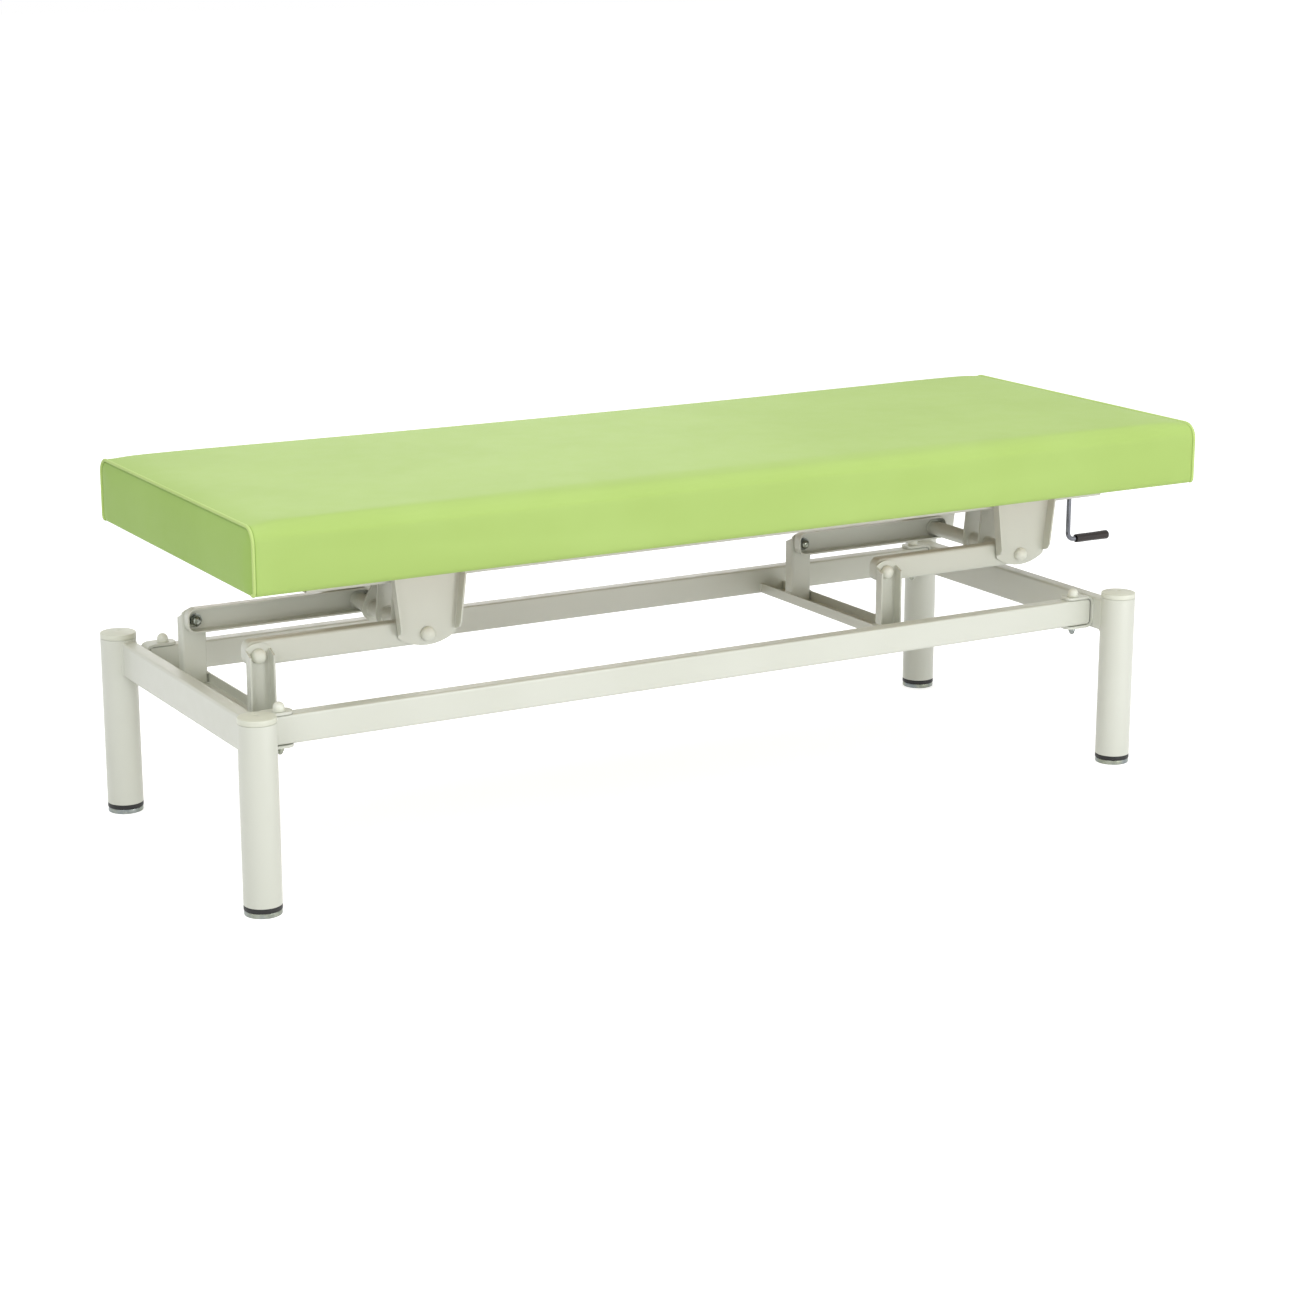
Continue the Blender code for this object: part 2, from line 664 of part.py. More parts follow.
def bolt(name, diameter, cap, washer=None, seat_depth=0, nut=None, reach=0):
    """A capped bolt along Z. The cap, (diameter, height), stands on height 0, or on a washer,
    (diameter, thickness). The nut, (width, height, dome), sits at minus seat_depth. A bolt with
    no nut ends at minus reach."""
    radius, dome, height = diameter / 2, cap[0] / 2, cap[1]
    rim, seat = (washer[0] / 2, washer[1]) if washer else (dome, 0)
    skirt = CAP_SKIRT_SHARE * height
    crown = arc((0, 0), 1, 90, 0, 2 * BEND_STEPS)
    profile = [(dome * u, seat + skirt + (height - skirt) * v) for u, v in crown]
    profile[0] = (0, seat + height)
    profile += [(dome, seat), (rim, seat), (rim, 0)] if washer else [(dome, 0)]
    profile.append((radius, 0))
    if not nut:
        return turned(name, profile + [(radius, -reach), (0, -reach)], sides=SMALL_SIDES)
    width, nut_height, nut_dome = nut
    crest = width * NUT_DOME_SHARE
    end = -seat_depth - nut_height
    profile += [
        (radius, end),
        (crest, end),
        (crest * NUT_SHOULDER_SHARE, end - nut_dome * NUT_SHOULDER_SHARE),
        (0, end - nut_dome),
    ]
    turned_bolt = turned(name, profile, sides=SMALL_SIDES)
    corner = width / math.sqrt(3)
    hexagon = cylinder("hexagon", corner, "Z", -seat_depth, end - WELD_BITE / 2, sides=6)
    return combined(name, turned_bolt, "UNION", [hexagon])


clevis_top = SIDE_RAIL_Z + clevis_half + TOUCH
rail_bolt_mesh = bolt(
    "rail_bolt", RAIL_BOLT_DIAMETER, (RAIL_CAP_DIAMETER, RAIL_CAP_HEIGHT),
    washer=(RAIL_CAP_WASHER_DIAMETER, RAIL_CAP_WASHER), seat_depth=CLEVIS_HEIGHT + 2 * TOUCH,
    nut=(RAIL_NUT_WIDTH, RAIL_NUT_HEIGHT, RAIL_NUT_DOME),
)
for end, sign_x in ENDS:
    for side, sign_y in SIDES:
        place = (sign_x * RAIL_BOLT_X, sign_y * SIDE_RAIL_Y, clevis_top)
        node(f"rail_bolt_{end}_{side}", rail_bolt_mesh, ZINC, base, place)

pin_hole = PIVOT_BOLT_DIAMETER / 2 + RUN
grip_depth = WEB_OUTER_Y - LINK_INNER_Y + 2 * TOUCH
pivot_cap = (PIVOT_CAP_DIAMETER, PIVOT_CAP_HEIGHT)
lower_bolt_mesh = bolt(
    "lower_pivot_bolt", PIVOT_BOLT_DIAMETER, pivot_cap, seat_depth=grip_depth,
    nut=(PIVOT_NUT_WIDTH, PIVOT_NUT_HEIGHT, PIVOT_NUT_DOME),
)
upper_bolt_mesh = bolt(
    "upper_pivot_bolt", PIVOT_BOLT_DIAMETER, pivot_cap, reach=grip_depth + UPPER_BOLT_REACH
)
for end, _ in ENDS:
    for side, sign_y in SIDES:
        head_y = sign_y * (WEB_OUTER_Y + TOUCH)
        lower_place = (POST_X[end], head_y, PIVOT_Z)
        upper_place = (HANGER_X[end], head_y, PIVOT_Z)
        corner = f"{end}_{side}"
        node(f"lower_pivot_bolt_{corner}", lower_bolt_mesh, ZINC, base, lower_place, FACING[sign_y])
        node(f"upper_pivot_bolt_{corner}", upper_bolt_mesh, ZINC, top_axis, upper_place, FACING[sign_y])


# Ties between the side rails: folded channels, open upwards, that hold the posts

def folded_channel(width, height, thickness, bend):
    """The outline of a U channel that opens upwards, its web on v = 0."""
    half, inner = width / 2, width / 2 - thickness
    inside = bend - thickness
    return (
        arc((half - bend, bend), bend, 270, 360, BEND_STEPS)
        + [(half, height), (inner, height)]
        + arc((inner - inside, thickness + inside), inside, 0, -90, BEND_STEPS)
        + arc((-inner + inside, thickness + inside), inside, 270, 180, BEND_STEPS)
        + [(-inner, height), (-half, height)]
        + arc((-half + bend, bend), bend, 180, 270, BEND_STEPS)
    )


tie_half = SIDE_RAIL_Y - SIDE_RAIL_WIDTH / 2 - TOUCH
tie_mesh = plate(
    "post_tie", [folded_channel(TIE_WIDTH, TIE_HEIGHT, TIE_PLATE, TIE_BEND)], "Y",
    -tie_half, tie_half,
)
for end, _ in ENDS:
    node(f"post_tie_{end}", tie_mesh, PAINT, base, (POST_X[end], 0, SIDE_RAIL_BOTTOM))


# Pressed pieces: posts, links and hangers. Each has a web at y = 0 and flanges towards +y. The
# flange of a link runs all round it.

def pressed(name, blank, profile, end_cuts, holes):
    """A folded blank trimmed to the profile of its web, with its flange ends cut and drilled."""
    trimmed = combined(
        name, blank, "INTERSECT", [plate("profile", [profile], "Y", -OVERRUN, FLANGE_DEPTH + OVERRUN)]
    )
    drills = [
        cylinder("drill", pin_hole, "Y", -OVERRUN, FLANGE_DEPTH + OVERRUN, centre, SMALL_SIDES)
        for centre in holes
    ]
    return combined(name, trimmed, "DIFFERENCE", end_cuts + drills)


def shallow_arch(half, foot, rise):
    """An arch of the given rise over a chord at height foot, from its right end to its left,
    which runs out a little past both ends."""
    radius = (half**2 + rise**2) / (2 * rise)
    sweep = ARCH_RUN_OUT_SHARE * math.degrees(math.asin(half / radius))
    centre = (0, foot + rise - radius)
    return arc(centre, radius, 90 - sweep, 90 + sweep, 5 * BEND_STEPS)


post_half = POST_WIDTH / 2
post_bottom = SIDE_RAIL_BOTTOM + TIE_PLATE + TOUCH - PIVOT_Z
post_profile = [
    (beyond(-post_half), beyond(post_bottom)),
    (beyond(post_half), beyond(post_bottom)),
    *shallow_arch(post_half, POST_SHOULDER, POST_CROWN - POST_SHOULDER),
]
post_slant = [
    (PRESSED_PLATE, POST_SHOULDER - POST_CORNER_DROP),
    (FLANGE_DEPTH, POST_FLANGE_TOP),
    (beyond(FLANGE_DEPTH), POST_FLANGE_TOP),
    (beyond(FLANGE_DEPTH), beyond(post_half)),
    (PRESSED_PLATE, beyond(post_half)),
]
post_mesh = pressed(
    "post",
    plate(
        "post", [folded_channel(POST_WIDTH, FLANGE_DEPTH, PRESSED_PLATE, PRESSED_BEND)], "Z",
        post_bottom, beyond(post_half),
    ),
    post_profile,
    [plate("flange_top", [post_slant], "X", -POST_WIDTH, POST_WIDTH)],
    [(0, 0)],
)
for end, _ in ENDS:
    for side, sign_y in SIDES:
        turn = NO_TURN if sign_y > 0 else HALF_TURN
        place = (POST_X[end], sign_y * WEB_INNER_Y, PIVOT_Z)
        node(f"post_{end}_{side}", post_mesh, PAINT, base, place, turn)

half_link = LINK_LENGTH / 2
link_length = LINK_LENGTH + 2 * LINK_END_REACH


def link_ring(inset, depth):
    """The outline of a link, drawn in by inset and set at a depth from its web's outer face."""
    outline = rounded_box(
        (0, LINK_RAISED), link_length - 2 * inset, LINK_HEIGHT - 2 * inset, LINK_END_ROUND - inset,
        2 * BEND_STEPS,
    )
    return [(u, depth, v) for u, v in outline]


# From the edge of the web's outer face round the bend to the lip, and back inside to the web
link_outside = arc((PRESSED_BEND, PRESSED_BEND), PRESSED_BEND, 270, 180, BEND_STEPS)
link_inside = arc((PRESSED_BEND, PRESSED_BEND), PRESSED_BEND - PRESSED_PLATE, 180, 270, BEND_STEPS)
link_wall = link_outside + [(0, FLANGE_DEPTH), (PRESSED_PLATE, FLANGE_DEPTH)] + link_inside
link_mesh = combined(
    "link",
    loft("link", [link_ring(inset, depth) for inset, depth in link_wall]),
    "DIFFERENCE",
    [
        cylinder("drill", pin_hole, "Y", -OVERRUN, FLANGE_DEPTH + OVERRUN, (x, 0), SMALL_SIDES)
        for x in (-half_link, half_link)
    ],
)
for end, _ in ENDS:
    for side, sign_y in SIDES:
        turn = HALF_TURN if sign_y > 0 else NO_TURN
        place = (POST_X[end] + half_link, sign_y * LINK_OUTER_Y, PIVOT_Z)
        node(f"link_{end}_{side}", link_mesh, PAINT, links_axis[end], place, turn)

hanger_top = MATTRESS_BOTTOM - TOUCH - PIVOT_Z
hanger_foot = HANGER_FOOT_WIDTH / 2
hanger_corner = -HANGER_BELOW_PIVOT + HANGER_FOOT_RISE
hanger_low = beyond(-HANGER_BELOW_PIVOT)
hanger_slope = (HANGER_SPREAD - HANGER_FOOT_WIDTH) / (hanger_top - hanger_corner)
hanger_rings = []
for height in (hanger_low, hanger_top):
    width = HANGER_FOOT_WIDTH + hanger_slope * (height - hanger_corner)
    section = folded_channel(width, FLANGE_DEPTH, PRESSED_PLATE, PRESSED_BEND)
    hanger_rings.append([(u, v, height) for u, v in section])
foot_arch = shallow_arch(hanger_foot, HANGER_BELOW_PIVOT - HANGER_FOOT_RISE, HANGER_FOOT_RISE)
hanger_profile = [(-u, -v) for u, v in foot_arch]
hanger_profile += [
    (HANGER_SPREAD, hanger_profile[-1][1]),
    (HANGER_SPREAD, beyond(hanger_top)),
    (-HANGER_SPREAD, beyond(hanger_top)),
    (-HANGER_SPREAD, hanger_profile[-1][1]),
]
hanger_slant = [
    (PRESSED_PLATE, hanger_corner + PRESSED_BEND),
    (PRESSED_PLATE, hanger_low),
    (beyond(FLANGE_DEPTH), hanger_low),
    (beyond(FLANGE_DEPTH), hanger_corner + HANGER_FLANGE_RISE),
    (FLANGE_DEPTH, hanger_corner + HANGER_FLANGE_RISE),
    (FLANGE_DEPTH * HANGER_CURVE_SHARE, hanger_corner + HANGER_FLANGE_RISE / 2),
]
hanger_mesh = pressed(
    "hanger",
    loft("hanger", hanger_rings),
    hanger_profile,
    [plate("flange_foot", [hanger_slant], "X", -HANGER_SPREAD, HANGER_SPREAD)],
    [(0, 0)],
)
for end, _ in ENDS:
    for side, sign_y in SIDES:
        turn = NO_TURN if sign_y > 0 else HALF_TURN
        place = (HANGER_X[end], sign_y * WEB_INNER_Y, PIVOT_Z)
        node(f"hanger_{end}_{side}", hanger_mesh, PAINT, top_axis, place, turn)


# Torsion tubes, each between a pair of links, with the levers welded on. The head tube has two
# slotted levers for the drive nut. Both tubes have a fork, with a fixed pin, for the tie rod.

tube_radius = TORSION_TUBE_DIAMETER / 2
bore_radius = tube_radius - TORSION_TUBE_WALL
bush_start = TORSION_HALF - TORSION_END_BUSH
torsion_bore = turned(
    "torsion_bore",
    [
        (0, beyond(TORSION_HALF)),
        (pin_hole, beyond(TORSION_HALF)),
        (pin_hole, bush_start),
        (bore_radius, bush_start),
        (bore_radius, -bush_start),
        (pin_hole, -bush_start),
        (pin_hole, beyond(-TORSION_HALF)),
        (0, beyond(-TORSION_HALF)),
    ],
    "Y",
    sides=SMALL_SIDES,
)
slot_line = (math.cos(SLOT_ANGLE), math.sin(SLOT_ANGLE))
slot_tips = [tuple(reach * part for part in slot_line) for reach in (DRIVE_HEIGHT, SLOT_OUTER)]
slot_outline = hull_of_circles([(tip, HALF_SLOT) for tip in slot_tips], SMALL_SIDES)
hub_circle = ((0, 0), LEVER_HUB_ROUND)
slot_circle = (slot_tips[1], HALF_SLOT + SLOT_EDGE)
pin_circle = ((0, TIE_ROD_RADIUS), TIE_PIN_DIAMETER / 2 + TIE_HOLE_EDGE)


def lever(circles, holes, y):
    """A lever plate round the torsion tube, its middle plane at y."""
    outline = hull_of_circles(circles, ROUND_SIDES)
    return plate("lever", [outline] + holes, "Y", y - LEVER_PLATE / 2, y + LEVER_PLATE / 2)


drive_half = DRIVE_LEVER_SPACING / 2
shared_y = DRIVE_Y - drive_half
fork_y = {
    "head": (shared_y - HEAD_FORK_SPACING, shared_y),
    "foot": (TIE_ROD_Y - FOOT_FORK_SPACING / 2, TIE_ROD_Y + FOOT_FORK_SPACING / 2),
}
lever_sets = {
    "head": [
        lever([hub_circle, slot_circle], [slot_outline], DRIVE_Y + drive_half),
        lever([hub_circle, slot_circle, pin_circle], [slot_outline], shared_y),
        lever([hub_circle, pin_circle], [], fork_y["head"][0]),
    ],
    "foot": [lever([hub_circle, pin_circle], [], y) for y in fork_y["foot"]],
}
for end, _ in ENDS:
    tube = cylinder("tube", tube_radius, "Y", -TORSION_HALF, TORSION_HALF)
    pin = cylinder("pin", TIE_PIN_DIAMETER / 2, "Y", *fork_y[end], (0, TIE_ROD_RADIUS), SMALL_SIDES)
    welded = combined("torsion_shaft", tube, "UNION", lever_sets[end] + [pin])
    torsion_mesh = combined("torsion_shaft", welded, "DIFFERENCE", [torsion_bore])
    node(f"torsion_shaft_{end}", torsion_mesh, PAINT, links_axis[end], (HANGER_X[end], 0, PIVOT_Z))


# Tie rod, with an eye at each end round the pin in the fork

eye_x = {"head": 0, "foot": FOOT_HANGER_X - HEAD_HANGER_X}
eyes, bores = [], []
for end, _ in ENDS:
    low, high = [y - TIE_ROD_Y for y in fork_y[end]]
    low += LEVER_PLATE / 2 + TOUCH
    high -= LEVER_PLATE / 2 + TOUCH
    centre = (eye_x[end], 0)
    eyes.append(cylinder("eye", TIE_EYE_DIAMETER / 2, "Y", low, high, centre, SMALL_SIDES))
    bore = TIE_PIN_DIAMETER / 2 + RUN
    bores.append(cylinder("eye_bore", bore, "Y", beyond(low), beyond(high), centre, SMALL_SIDES))
tie_bar = cylinder("tie_bar", TIE_ROD_DIAMETER / 2, "X", 0, eye_x["foot"], sides=SMALL_SIDES)
tie_rod_mesh = combined("tie_rod", combined("tie_rod", tie_bar, "UNION", eyes), "DIFFERENCE", bores)
node("tie_rod", tie_rod_mesh, STEEL, tie_axis, tie_place)


# Drive nut: a block on the screw with a trunnion through the two slotted levers

block_width = DRIVE_LEVER_SPACING - LEVER_PLATE - 4 * RUN
trunnion_half = drive_half + LEVER_PLATE / 2 + TRUNNION_PROUD
block = plate(
    "nut_block",
    [rounded_box((0, 0), NUT_BLOCK_LENGTH, NUT_BLOCK_HEIGHT, NUT_BLOCK_EDGE, 1)],
    "Y",
    -block_width / 2,
    block_width / 2,
)
trunnion = cylinder(
    "trunnion", TRUNNION_DIAMETER / 2, "Y", -trunnion_half, trunnion_half, sides=SMALL_SIDES
)
screw_bore = cylinder(
    "screw_bore", SCREW_DIAMETER / 2 + RUN, "X", -NUT_BLOCK_LENGTH, NUT_BLOCK_LENGTH
)
nut_mesh = combined(
    "drive_nut", combined("drive_nut", block, "UNION", [trunnion]), "DIFFERENCE", [screw_bore]
)
node("drive_nut", nut_mesh, STEEL, nut_axis, tuple(nut_axis["place"]))


# Screw shaft from the head bearing to the crank

head_bearing_x = HEAD_HANGER_X - HEAD_CROSSBAR_FROM_PIVOT
foot_bearing_x = MATTRESS_FOOT_X - FOOT_CROSSBAR_INBOARD
thread_start = HEAD_HANGER_X - SCREW_THREAD_LENGTH / 2
thread_end = HEAD_HANGER_X + SCREW_THREAD_LENGTH / 2
shaft_radius = SHAFT_DIAMETER / 2
collar_radius = SHAFT_COLLAR_DIAMETER / 2
collar_gap = BEARING_LENGTH / 2 + TOUCH
hub_start = CRANK_PLANE_X - CRANK_HUB_LENGTH / 2
hub_end = CRANK_PLANE_X + CRANK_HUB_LENGTH / 2
shaft_profile = [(0, hub_end), (CRANK_HUB_DIAMETER / 2, hub_end), (CRANK_HUB_DIAMETER / 2, hub_start)]
shaft_profile.append((shaft_radius, hub_start))
for face in (1, -1):
    outer = foot_bearing_x + face * collar_gap + (SHAFT_COLLAR_WIDTH if face > 0 else 0)
    shaft_profile += [
        (shaft_radius, outer),
        (collar_radius, outer),
        (collar_radius, outer - SHAFT_COLLAR_WIDTH),
        (shaft_radius, outer - SHAFT_COLLAR_WIDTH),
    ]
shaft_profile += [
    (shaft_radius, thread_end),
    (SCREW_DIAMETER / 2, thread_end),
    (SCREW_DIAMETER / 2, thread_start),
    (shaft_radius, thread_start),
    (shaft_radius, head_bearing_x - BEARING_LENGTH / 2),
    (0, head_bearing_x - BEARING_LENGTH / 2),
]
shaft_mesh = turned(
    "screw_shaft", [(r, x - CRANK_PLANE_X) for r, x in shaft_profile], "X", sides=SMALL_SIDES
)
rod_hole = cylinder(
    "rod_hole", CRANK_ROD_DIAMETER / 2 + TOUCH, "Z", -CRANK_HUB_DIAMETER, CRANK_HUB_DIAMETER,
    (0, 0), SMALL_SIDES,
)
shaft_mesh = combined("screw_shaft", shaft_mesh, "DIFFERENCE", [rod_hole])
node("screw_shaft", shaft_mesh, STEEL, crank_axis, tuple(crank_axis["place"]))


# Crank rod: one bent bar from the hub down and out into the grip

rod_top = CRANK_HUB_DIAMETER / 2 + CRANK_END_OVER
rod_end = GRIP_START + GRIP_LENGTH - GRIP_END_WALL - RUN
bend_points = arc(
    (CRANK_BEND, -CRANK_RADIUS + CRANK_BEND), CRANK_BEND, 180, 270, 2 * BEND_STEPS
)
rod_points = [(0, rod_top)] + bend_points + [(rod_end, -CRANK_RADIUS)]
rod_curve = bpy.data.curves.new("crank_rod", "CURVE")
rod_curve.dimensions = "3D"
rod_curve.bevel_depth = CRANK_ROD_DIAMETER / 2
rod_curve.bevel_resolution = 3
rod_curve.use_fill_caps = True
rod_line = rod_curve.splines.new("POLY")
rod_line.points.add(len(rod_points) - 1)
for point, (x, z) in zip(rod_line.points, rod_points):
    point.co = (x, 0, z, 1)
rod_object = bpy.data.objects.new("crank_rod_path", rod_curve)
cutters.objects.link(rod_object)
node("crank_rod", baked(rod_object), CHROME, crank_axis, tuple(crank_axis["place"]))

grip_radius = GRIP_DIAMETER / 2
grip_bore = CRANK_ROD_DIAMETER / 2 + RUN
grip_nose = arc(
    (grip_radius - GRIP_END_ROUND, GRIP_LENGTH - GRIP_END_ROUND), GRIP_END_ROUND, 90, 0, BEND_STEPS
)
grip_mesh = turned(
    "crank_grip",
    [(0, GRIP_LENGTH)]
    + grip_nose
    + [
        (grip_radius - GRIP_WAIST, GRIP_LENGTH / 2),
        (grip_radius, GRIP_END_ROUND),
        (grip_radius - GRIP_END_ROUND / 2, 0),
        (grip_bore, 0),
        (grip_bore, GRIP_LENGTH - GRIP_END_WALL),
        (0, GRIP_LENGTH - GRIP_END_WALL),
    ],
    "X",
    sides=SMALL_SIDES,
)
node("crank_grip", grip_mesh, BROWN, grip_axis, grip_place)


# Upper frame: two beams inside the hangers, and crossbars over them that carry the top board.
# The head and foot crossbars have the bearing blocks of the screw shaft welded underneath.

beam_y = BEAM_OUTER_Y - BEAM_WIDTH / 2
beam_section = rail_section(BEAM_WIDTH, BEAM_HEIGHT, (0, BEAM_TOP - BEAM_HEIGHT / 2))
beam_mesh = plate("frame_beam", beam_section, "X", BEAM_HEAD_X, BEAM_FOOT_X)
for side, sign_y in SIDES:
    node(f"frame_beam_{side}", beam_mesh, PAINT, top_axis, (0, sign_y * beam_y, 0))

crossbar_mesh = plate(
    "crossbar",
    rail_section(CROSSBAR_WIDTH, CROSSBAR_HEIGHT, (0, CROSSBAR_BOTTOM + CROSSBAR_HEIGHT / 2)),
    "Y",
    -CROSSBAR_LENGTH / 2,
    CROSSBAR_LENGTH / 2,
)
bearing_top = CROSSBAR_BOTTOM + WELD_BITE
bearing_bottom = DRIVE_Z - BEARING_BELOW_AXIS
bearing_middle = (DRIVE_Y, (bearing_top + bearing_bottom) / 2)
bearing_outline = rounded_box(
    bearing_middle, BEARING_WIDTH, bearing_top - bearing_bottom, NUT_BLOCK_EDGE, 1
)
bearing_block = plate(
    "bearing", [bearing_outline], "X", -BEARING_LENGTH / 2, BEARING_LENGTH / 2
)
bearing_bore = cylinder(
    "bearing_bore", shaft_radius + RUN, "X", -BEARING_LENGTH, BEARING_LENGTH, (DRIVE_Y, DRIVE_Z)
)
bearing_bar_mesh = combined(
    "bearing_bar", combined("bearing_bar", crossbar_mesh.copy(), "UNION", [bearing_block]),
    "DIFFERENCE", [bearing_bore],
)
node("crossbar_head", bearing_bar_mesh, PAINT, top_axis, (head_bearing_x, 0, 0))
node("crossbar_middle", crossbar_mesh, PAINT, top_axis, ((HEAD_HANGER_X + FOOT_HANGER_X) / 2, 0, 0))
node("crossbar_foot", bearing_bar_mesh, PAINT, top_axis, (foot_bearing_x, 0, 0))


# Board and padded top

board_half = MATTRESS_WIDTH / 2 - BOARD_INSET


def board_outline(gap):
    """The board seen from above, grown by a gap for the pocket that it lies in."""
    head, foot = MATTRESS_HEAD_X + BOARD_INSET - gap, MATTRESS_FOOT_X - BOARD_INSET + gap
    side = board_half + gap
    return [(head, -side), (foot, -side), (foot, side), (head, side)]


board_mesh = plate(
    "top_board", [board_outline(0)], "Z", MATTRESS_BOTTOM, MATTRESS_BOTTOM + BOARD_THICKNESS
)
node("top_board", board_mesh, WOOD, top_axis)


MIDDLE_SHARES = (0.25, 0.5, 0.75)


def mattress_section(x, grow, crown_share):
    """One ring round the padded top, grown or shrunk a little, with a share of the crown."""
    half = MATTRESS_WIDTH / 2 - WELT_PROUD + grow
    low = MATTRESS_BOTTOM + max(0.0, -grow)
    high = MATTRESS_BOTTOM + MATTRESS_THICKNESS - MATTRESS_CROWN + grow
    top_round = max(MATTRESS_LEAST_ROUND, MATTRESS_TOP_ROUND + min(0.0, grow))
    foot_round = MATTRESS_FOOT_ROUND
    side_height = high - top_round - low - foot_round
    right = arc((half - foot_round, low + foot_round), foot_round, 270, 360, BEND_STEPS)
    right += [
        (half - crown_share * MATTRESS_DRAW_IN * math.sin(math.pi * share),
         low + foot_round + side_height * share)
        for share in MIDDLE_SHARES
    ]
    right += arc((half - top_round, high - top_round), top_round, 0, 90, 2 * BEND_STEPS)
    right += [
        ((half - top_round) * share,
         high + crown_share * MATTRESS_CROWN * math.cos(math.pi / 2 * share))
        for share in MIDDLE_SHARES[::-1]
    ]
    left = [(-y, z) for y, z in right[::-1]]
    middle = [(0.0, high + crown_share * MATTRESS_CROWN)]
    return [(x, y, z) for y, z in right + middle + left]


# Stations from the middle of an end panel to the welt, and over the welt's bead on to the sides:
# (distance in from the end, growth). The panel's are shares of its bulge and of its flat's inset
# from the sides, and the bead's are shares of the welt's radius and of its height.
panel_shares = ((0.0, 1.0), (0.08, 0.72), (0.35, 0.45), (0.8, 0.22))
bead_shares = (
    (0.5, -5.5), (0.25, -3.8), (0.0, -1.8), (0.4, 0.6), (1.0, 1.0), (1.7, 0.6), (2.2, -0.5), (3.2, 0.0)
)
end_stations = [(END_PANEL_BULGE * out, -END_PANEL_FLAT * inset) for out, inset in panel_shares]
end_stations += [
    (END_PANEL_BULGE + WELT_RADIUS * out, WELT_PROUD * growth) for out, growth in bead_shares
]
length_shares = (0.03, 0.12, 0.3, 0.5, 0.7, 0.88, 0.97)
fullness_power = 0.35
stations = [(MATTRESS_HEAD_X + depth, grow, 0.0) for depth, grow in end_stations]
stations += [
    (MATTRESS_HEAD_X + MATTRESS_LENGTH * share, 0.0, math.sin(math.pi * share) ** fullness_power)
    for share in length_shares
]
stations += [(MATTRESS_FOOT_X - depth, grow, 0.0) for depth, grow in end_stations[::-1]]
cushion_solid = loft("cushion", [mattress_section(*station) for station in stations])
pocket = plate(
    "board_pocket", [board_outline(TOUCH)], "Z",
    MATTRESS_BOTTOM - OVERRUN, MATTRESS_BOTTOM + BOARD_THICKNESS + TOUCH,
)
cushion_mesh = combined("cushion", cushion_solid, "DIFFERENCE", [pocket])
node("cushion", cushion_mesh, VINYL, top_axis, smooth=50.0)
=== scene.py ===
"""Looks of the hand-cranked examination table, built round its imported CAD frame."""

import math

import bmesh
import bpy
import numpy as np
from mathutils import Matrix, Vector


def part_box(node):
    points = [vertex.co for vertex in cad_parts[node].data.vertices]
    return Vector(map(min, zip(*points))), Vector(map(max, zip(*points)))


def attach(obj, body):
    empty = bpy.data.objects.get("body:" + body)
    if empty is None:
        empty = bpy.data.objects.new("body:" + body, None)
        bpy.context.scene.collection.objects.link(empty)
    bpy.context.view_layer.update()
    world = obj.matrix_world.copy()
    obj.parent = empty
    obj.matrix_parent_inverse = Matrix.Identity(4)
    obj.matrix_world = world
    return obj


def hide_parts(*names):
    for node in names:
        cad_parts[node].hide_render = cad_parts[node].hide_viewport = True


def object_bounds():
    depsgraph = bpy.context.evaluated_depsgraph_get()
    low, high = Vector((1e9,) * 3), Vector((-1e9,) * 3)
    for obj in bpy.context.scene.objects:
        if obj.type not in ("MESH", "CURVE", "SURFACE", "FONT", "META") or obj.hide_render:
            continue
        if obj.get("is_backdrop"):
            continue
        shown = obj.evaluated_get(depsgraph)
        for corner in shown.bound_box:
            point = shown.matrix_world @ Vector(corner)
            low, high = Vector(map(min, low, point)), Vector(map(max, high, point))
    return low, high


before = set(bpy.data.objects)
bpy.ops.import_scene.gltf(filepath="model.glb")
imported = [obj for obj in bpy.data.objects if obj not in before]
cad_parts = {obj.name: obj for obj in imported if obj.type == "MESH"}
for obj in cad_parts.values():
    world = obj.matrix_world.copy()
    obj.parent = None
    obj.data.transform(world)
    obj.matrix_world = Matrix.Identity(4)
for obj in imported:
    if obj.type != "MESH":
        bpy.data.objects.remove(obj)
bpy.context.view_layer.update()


# Legs: steel tubes under ivory powder coat, cut square, with the edge of the cut rubbed smooth.
# Each is turned from a profile, and its coat has the fine orange peel of a sprayed powder.

class Socket:
    """One output in a node tree. Sums and products of it add Math nodes."""

    def __init__(self, graph, socket):
        self.graph, self.socket = graph, socket

    def also(self, output):
        """Another output of the same node."""
        return Socket(self.graph, self.socket.node.outputs[output])

    def maths(self, operation, *terms):
        values = dict(enumerate(terms))
        return self.graph.node("ShaderNodeMath", {"operation": operation}, values)

    def __add__(self, other):
        return self.maths("ADD", self, other)

    def __sub__(self, other):
        return self.maths("SUBTRACT", self, other)

    def __mul__(self, other):
        return self.maths("MULTIPLY", self, other)

    def __truediv__(self, other):
        return self.maths("DIVIDE", self, other)

    def __abs__(self):
        return self.maths("ABSOLUTE", self)

    def __or__(self, other):
        """The larger of the two, which for masks is the one or the other."""
        return self.maths("MAXIMUM", self, other)


class Graph:
    """A node tree, and the one way that nodes get into it."""

    def __init__(self, tree):
        self.tree = tree

    def feed(self, socket, value):
        if isinstance(value, Socket):
            self.tree.links.new(value.socket, socket)
        else:
            socket.default_value = value

    def node(self, kind, settings=None, values=None, output=0):
        made = self.tree.nodes.new(kind)
        for name, value in (settings or {}).items():
            setattr(made, name, value)
        for name, value in (values or {}).items():
            self.feed(made.inputs[name], value)
        return Socket(self, made.outputs[output])


